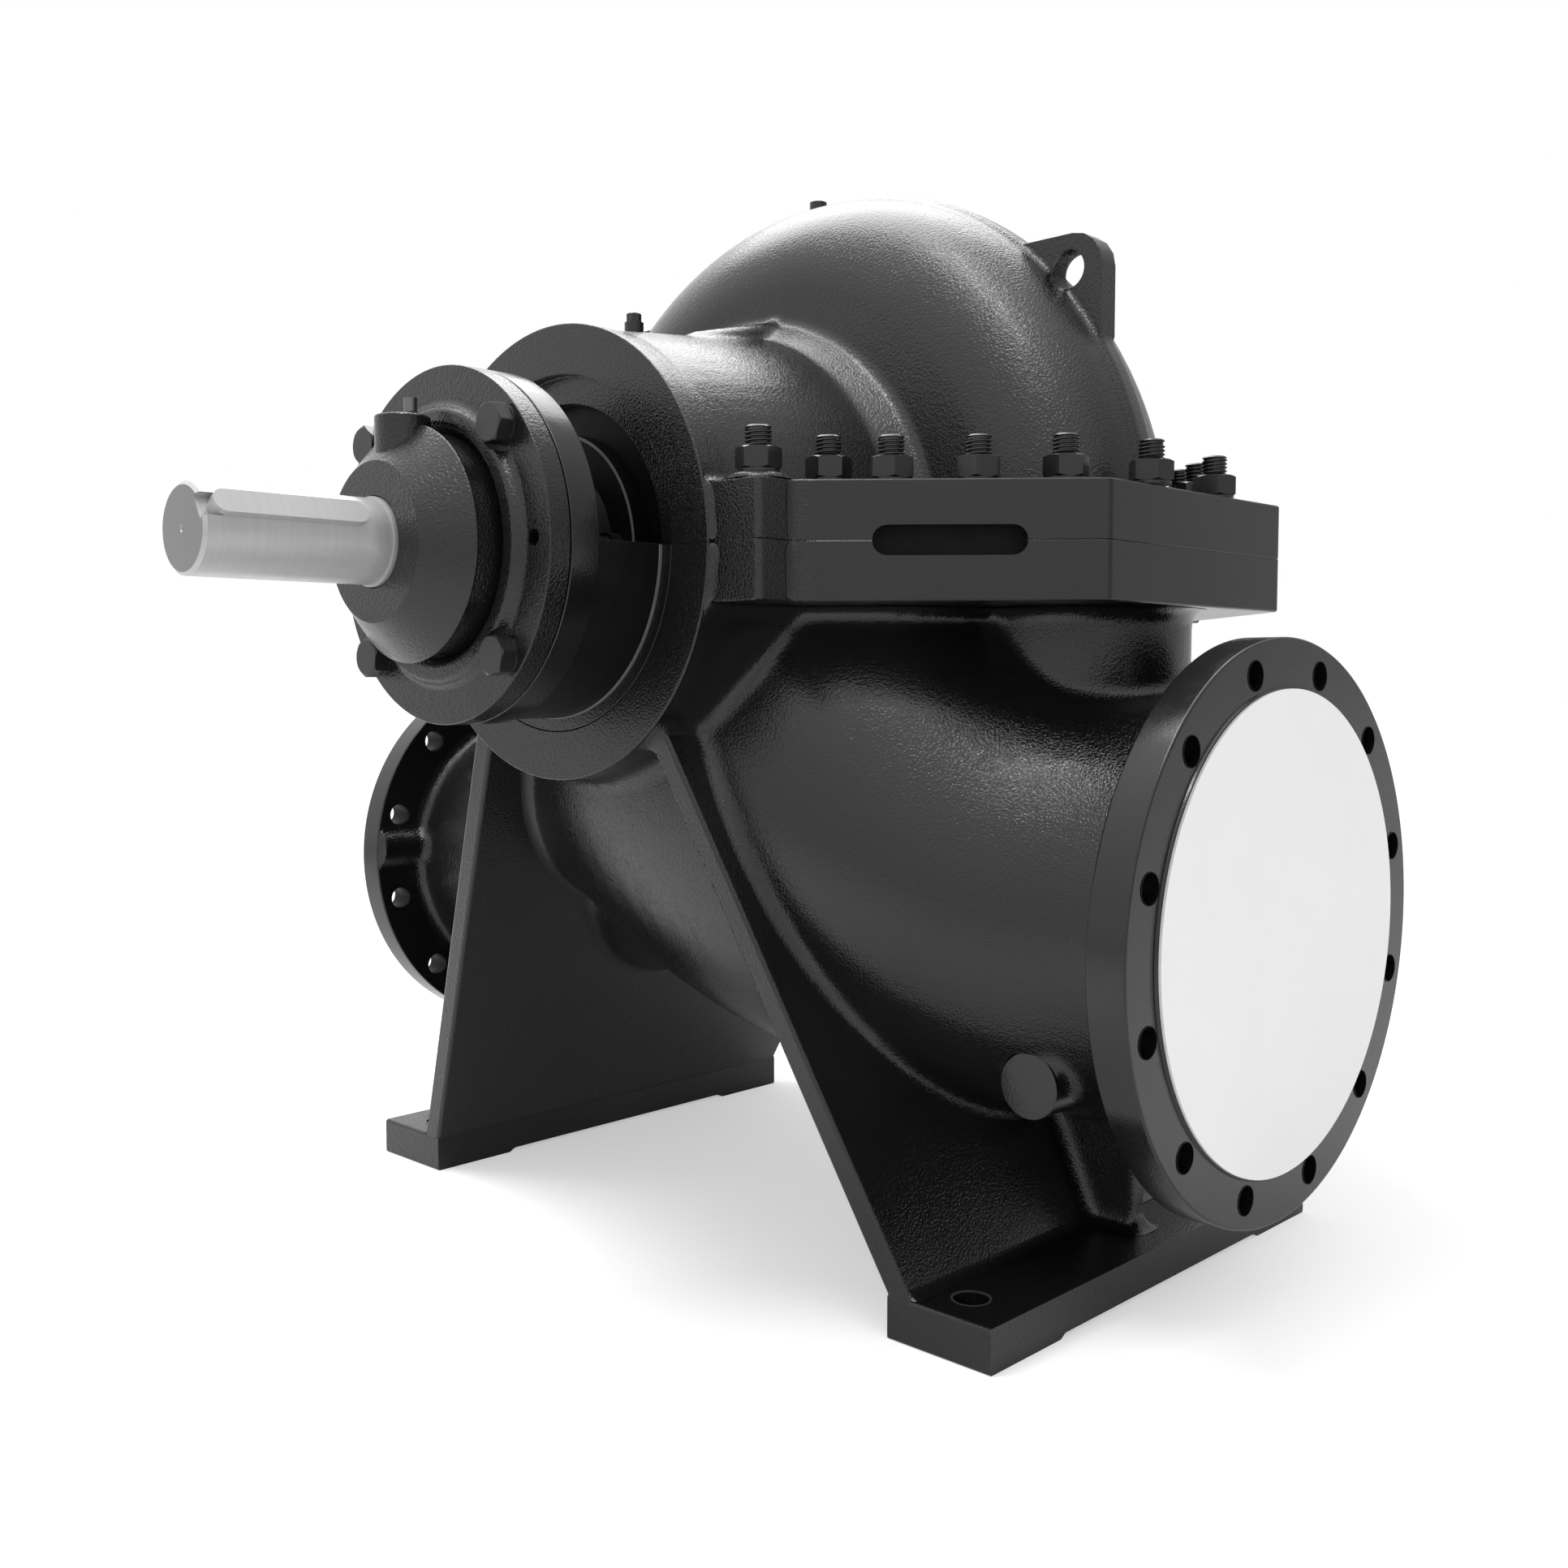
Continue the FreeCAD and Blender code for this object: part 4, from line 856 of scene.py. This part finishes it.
def photo_camera():
    """The camera of the photograph; its place, angles and lens were fitted to circles in the photograph."""
    data = bpy.data.cameras.new("photo_camera")
    camera = bpy.data.objects.new("photo_camera", data)
    bpy.context.scene.collection.objects.link(camera)
    camera.location = PHOTO_PLACE
    camera.rotation_euler = (radians(PHOTO_TILT), 0, radians(PHOTO_HEADING))
    data.sensor_width = SENSOR_WIDTH
    data.lens = PHOTO_LENS
    data.clip_start = 0.01
    bpy.context.scene.camera = camera


def backdrop_rays(tree):
    """Two sockets: 1 for camera rays, and 1 for mirrored or refracted rays."""
    path = tree.nodes.new("ShaderNodeLightPath")
    mirrored = sums(tree, "MAXIMUM", path.outputs["Is Glossy Ray"], path.outputs["Is Transmission Ray"])
    return path.outputs["Is Camera Ray"], mirrored


def studio_world(ambient=0.85, overhead=1.1):
    """White where it is seen. Where it is mirrored, it is brighter overhead and dimmer to one side."""
    world = bpy.data.worlds.new("studio")
    bpy.context.scene.world = world
    world.use_nodes = True
    tree = world.node_tree
    sky = tree.nodes["Background"]
    sky.inputs["Color"].default_value = (1, 1, 1, 1)
    direction = tree.nodes.new("ShaderNodeTexCoord").outputs["Generated"]
    parts = tree.nodes.new("ShaderNodeSeparateXYZ")
    tree.links.new(direction, parts.inputs[0])
    seen, mirrored = backdrop_rays(tree)
    height = sums(tree, "MAXIMUM", parts.outputs["Z"], 0)
    squared = sums(tree, "MULTIPLY", height, height)
    shown = sums(tree, "ADD", sums(tree, "MULTIPLY", squared, overhead), 1)
    dim_side = tree.nodes.new("ShaderNodeVectorMath")
    dim_side.operation = "DOT_PRODUCT"
    dim_side.inputs[1].default_value = (-0.84, 0.54, 0)
    tree.links.new(direction, dim_side.inputs[0])
    shown = sums(tree, "MULTIPLY", shown, spread(tree, dim_side.outputs["Value"], 0.25, 0.6, 1.0, 0.55))
    beyond_ambient = sums(tree, "MULTIPLY", mirrored, sums(tree, "SUBTRACT", shown, ambient))
    level = sums(tree, "ADD", beyond_ambient, ambient)
    tree.links.new(sums(tree, "MAXIMUM", level, seen), sky.inputs["Strength"])


def white_floor(half=30, glow=0.45, mirrored_glow=0.1):
    """A pale floor that keeps the shadow and glows a little where it is seen or mirrored."""
    mesh = bpy.data.meshes.new("floor")
    mesh.from_pydata([(x, y, 0) for x, y in rectangle(-half, -half, half, half)], [], [(0, 1, 2, 3)])
    floor = bpy.data.objects.new("floor", mesh)
    bpy.context.scene.collection.objects.link(floor)
    paint, tree, shader = material("floor_white", 0.8, 0.9, specular=0.0)
    mesh.materials.append(paint)
    emission = tree.nodes.new("ShaderNodeEmission")
    both = tree.nodes.new("ShaderNodeAddShader")
    seen, mirrored = backdrop_rays(tree)
    strength = sums(tree, "ADD", sums(tree, "MULTIPLY", seen, glow),
                    sums(tree, "MULTIPLY", mirrored, mirrored_glow))
    tree.links.new(strength, emission.inputs["Strength"])
    tree.links.new(shader.outputs[0], both.inputs[0])
    tree.links.new(emission.outputs[0], both.inputs[1])
    tree.links.new(both.outputs[0], tree.nodes["Material Output"].inputs["Surface"])


def softbox(name, at, aim, size, power, diffuse=True, mirrored=True, turn=0):
    """A rectangular lamp, in metres and watts, that may be kept out of plain shading or of mirror images."""
    data = bpy.data.lights.new(name, "AREA")
    data.shape = "RECTANGLE"
    data.size, data.size_y = size
    data.energy = power
    lamp = bpy.data.objects.new(name, data)
    bpy.context.scene.collection.objects.link(lamp)
    lamp.location = at
    lamp.rotation_euler = (Vector(aim) - Vector(at)).to_track_quat("-Z", "Y").to_euler()
    lamp.rotation_euler.z += radians(turn)
    lamp.visible_diffuse = diffuse
    lamp.visible_glossy = mirrored


castings()
split_plates()
slot_painted_shade()
end_rings()
nozzle_flanges()
feet()
webs()
lugs()
drain_bosses()
bearing_brackets()
bearing_covers()
seal_rims()
split_studs()
cover_bolts()
gland_nuts()
plug_heads()
finish_cad_nodes()
photo_camera()
studio_world()
white_floor()
softbox("top_light", at=(0.6, -0.6, 2.6), aim=(0, 0, 0.6), size=(1.6, 1.2), power=60, mirrored=False)
softbox("ceiling", at=(-1.1, -1.65, 3.4), aim=(-1.1, -1.65, 0), size=(3.1, 3.1), power=115, diffuse=False)
softbox("strip", at=(0.9, 0.75, 3.3), aim=(0.9, 0.75, 0), size=(0.45, 1.8), power=34, diffuse=False, turn=-30)

bpy.context.scene.view_settings.view_transform = "Standard"
for thing in dressed:
    flat_normals(thing)
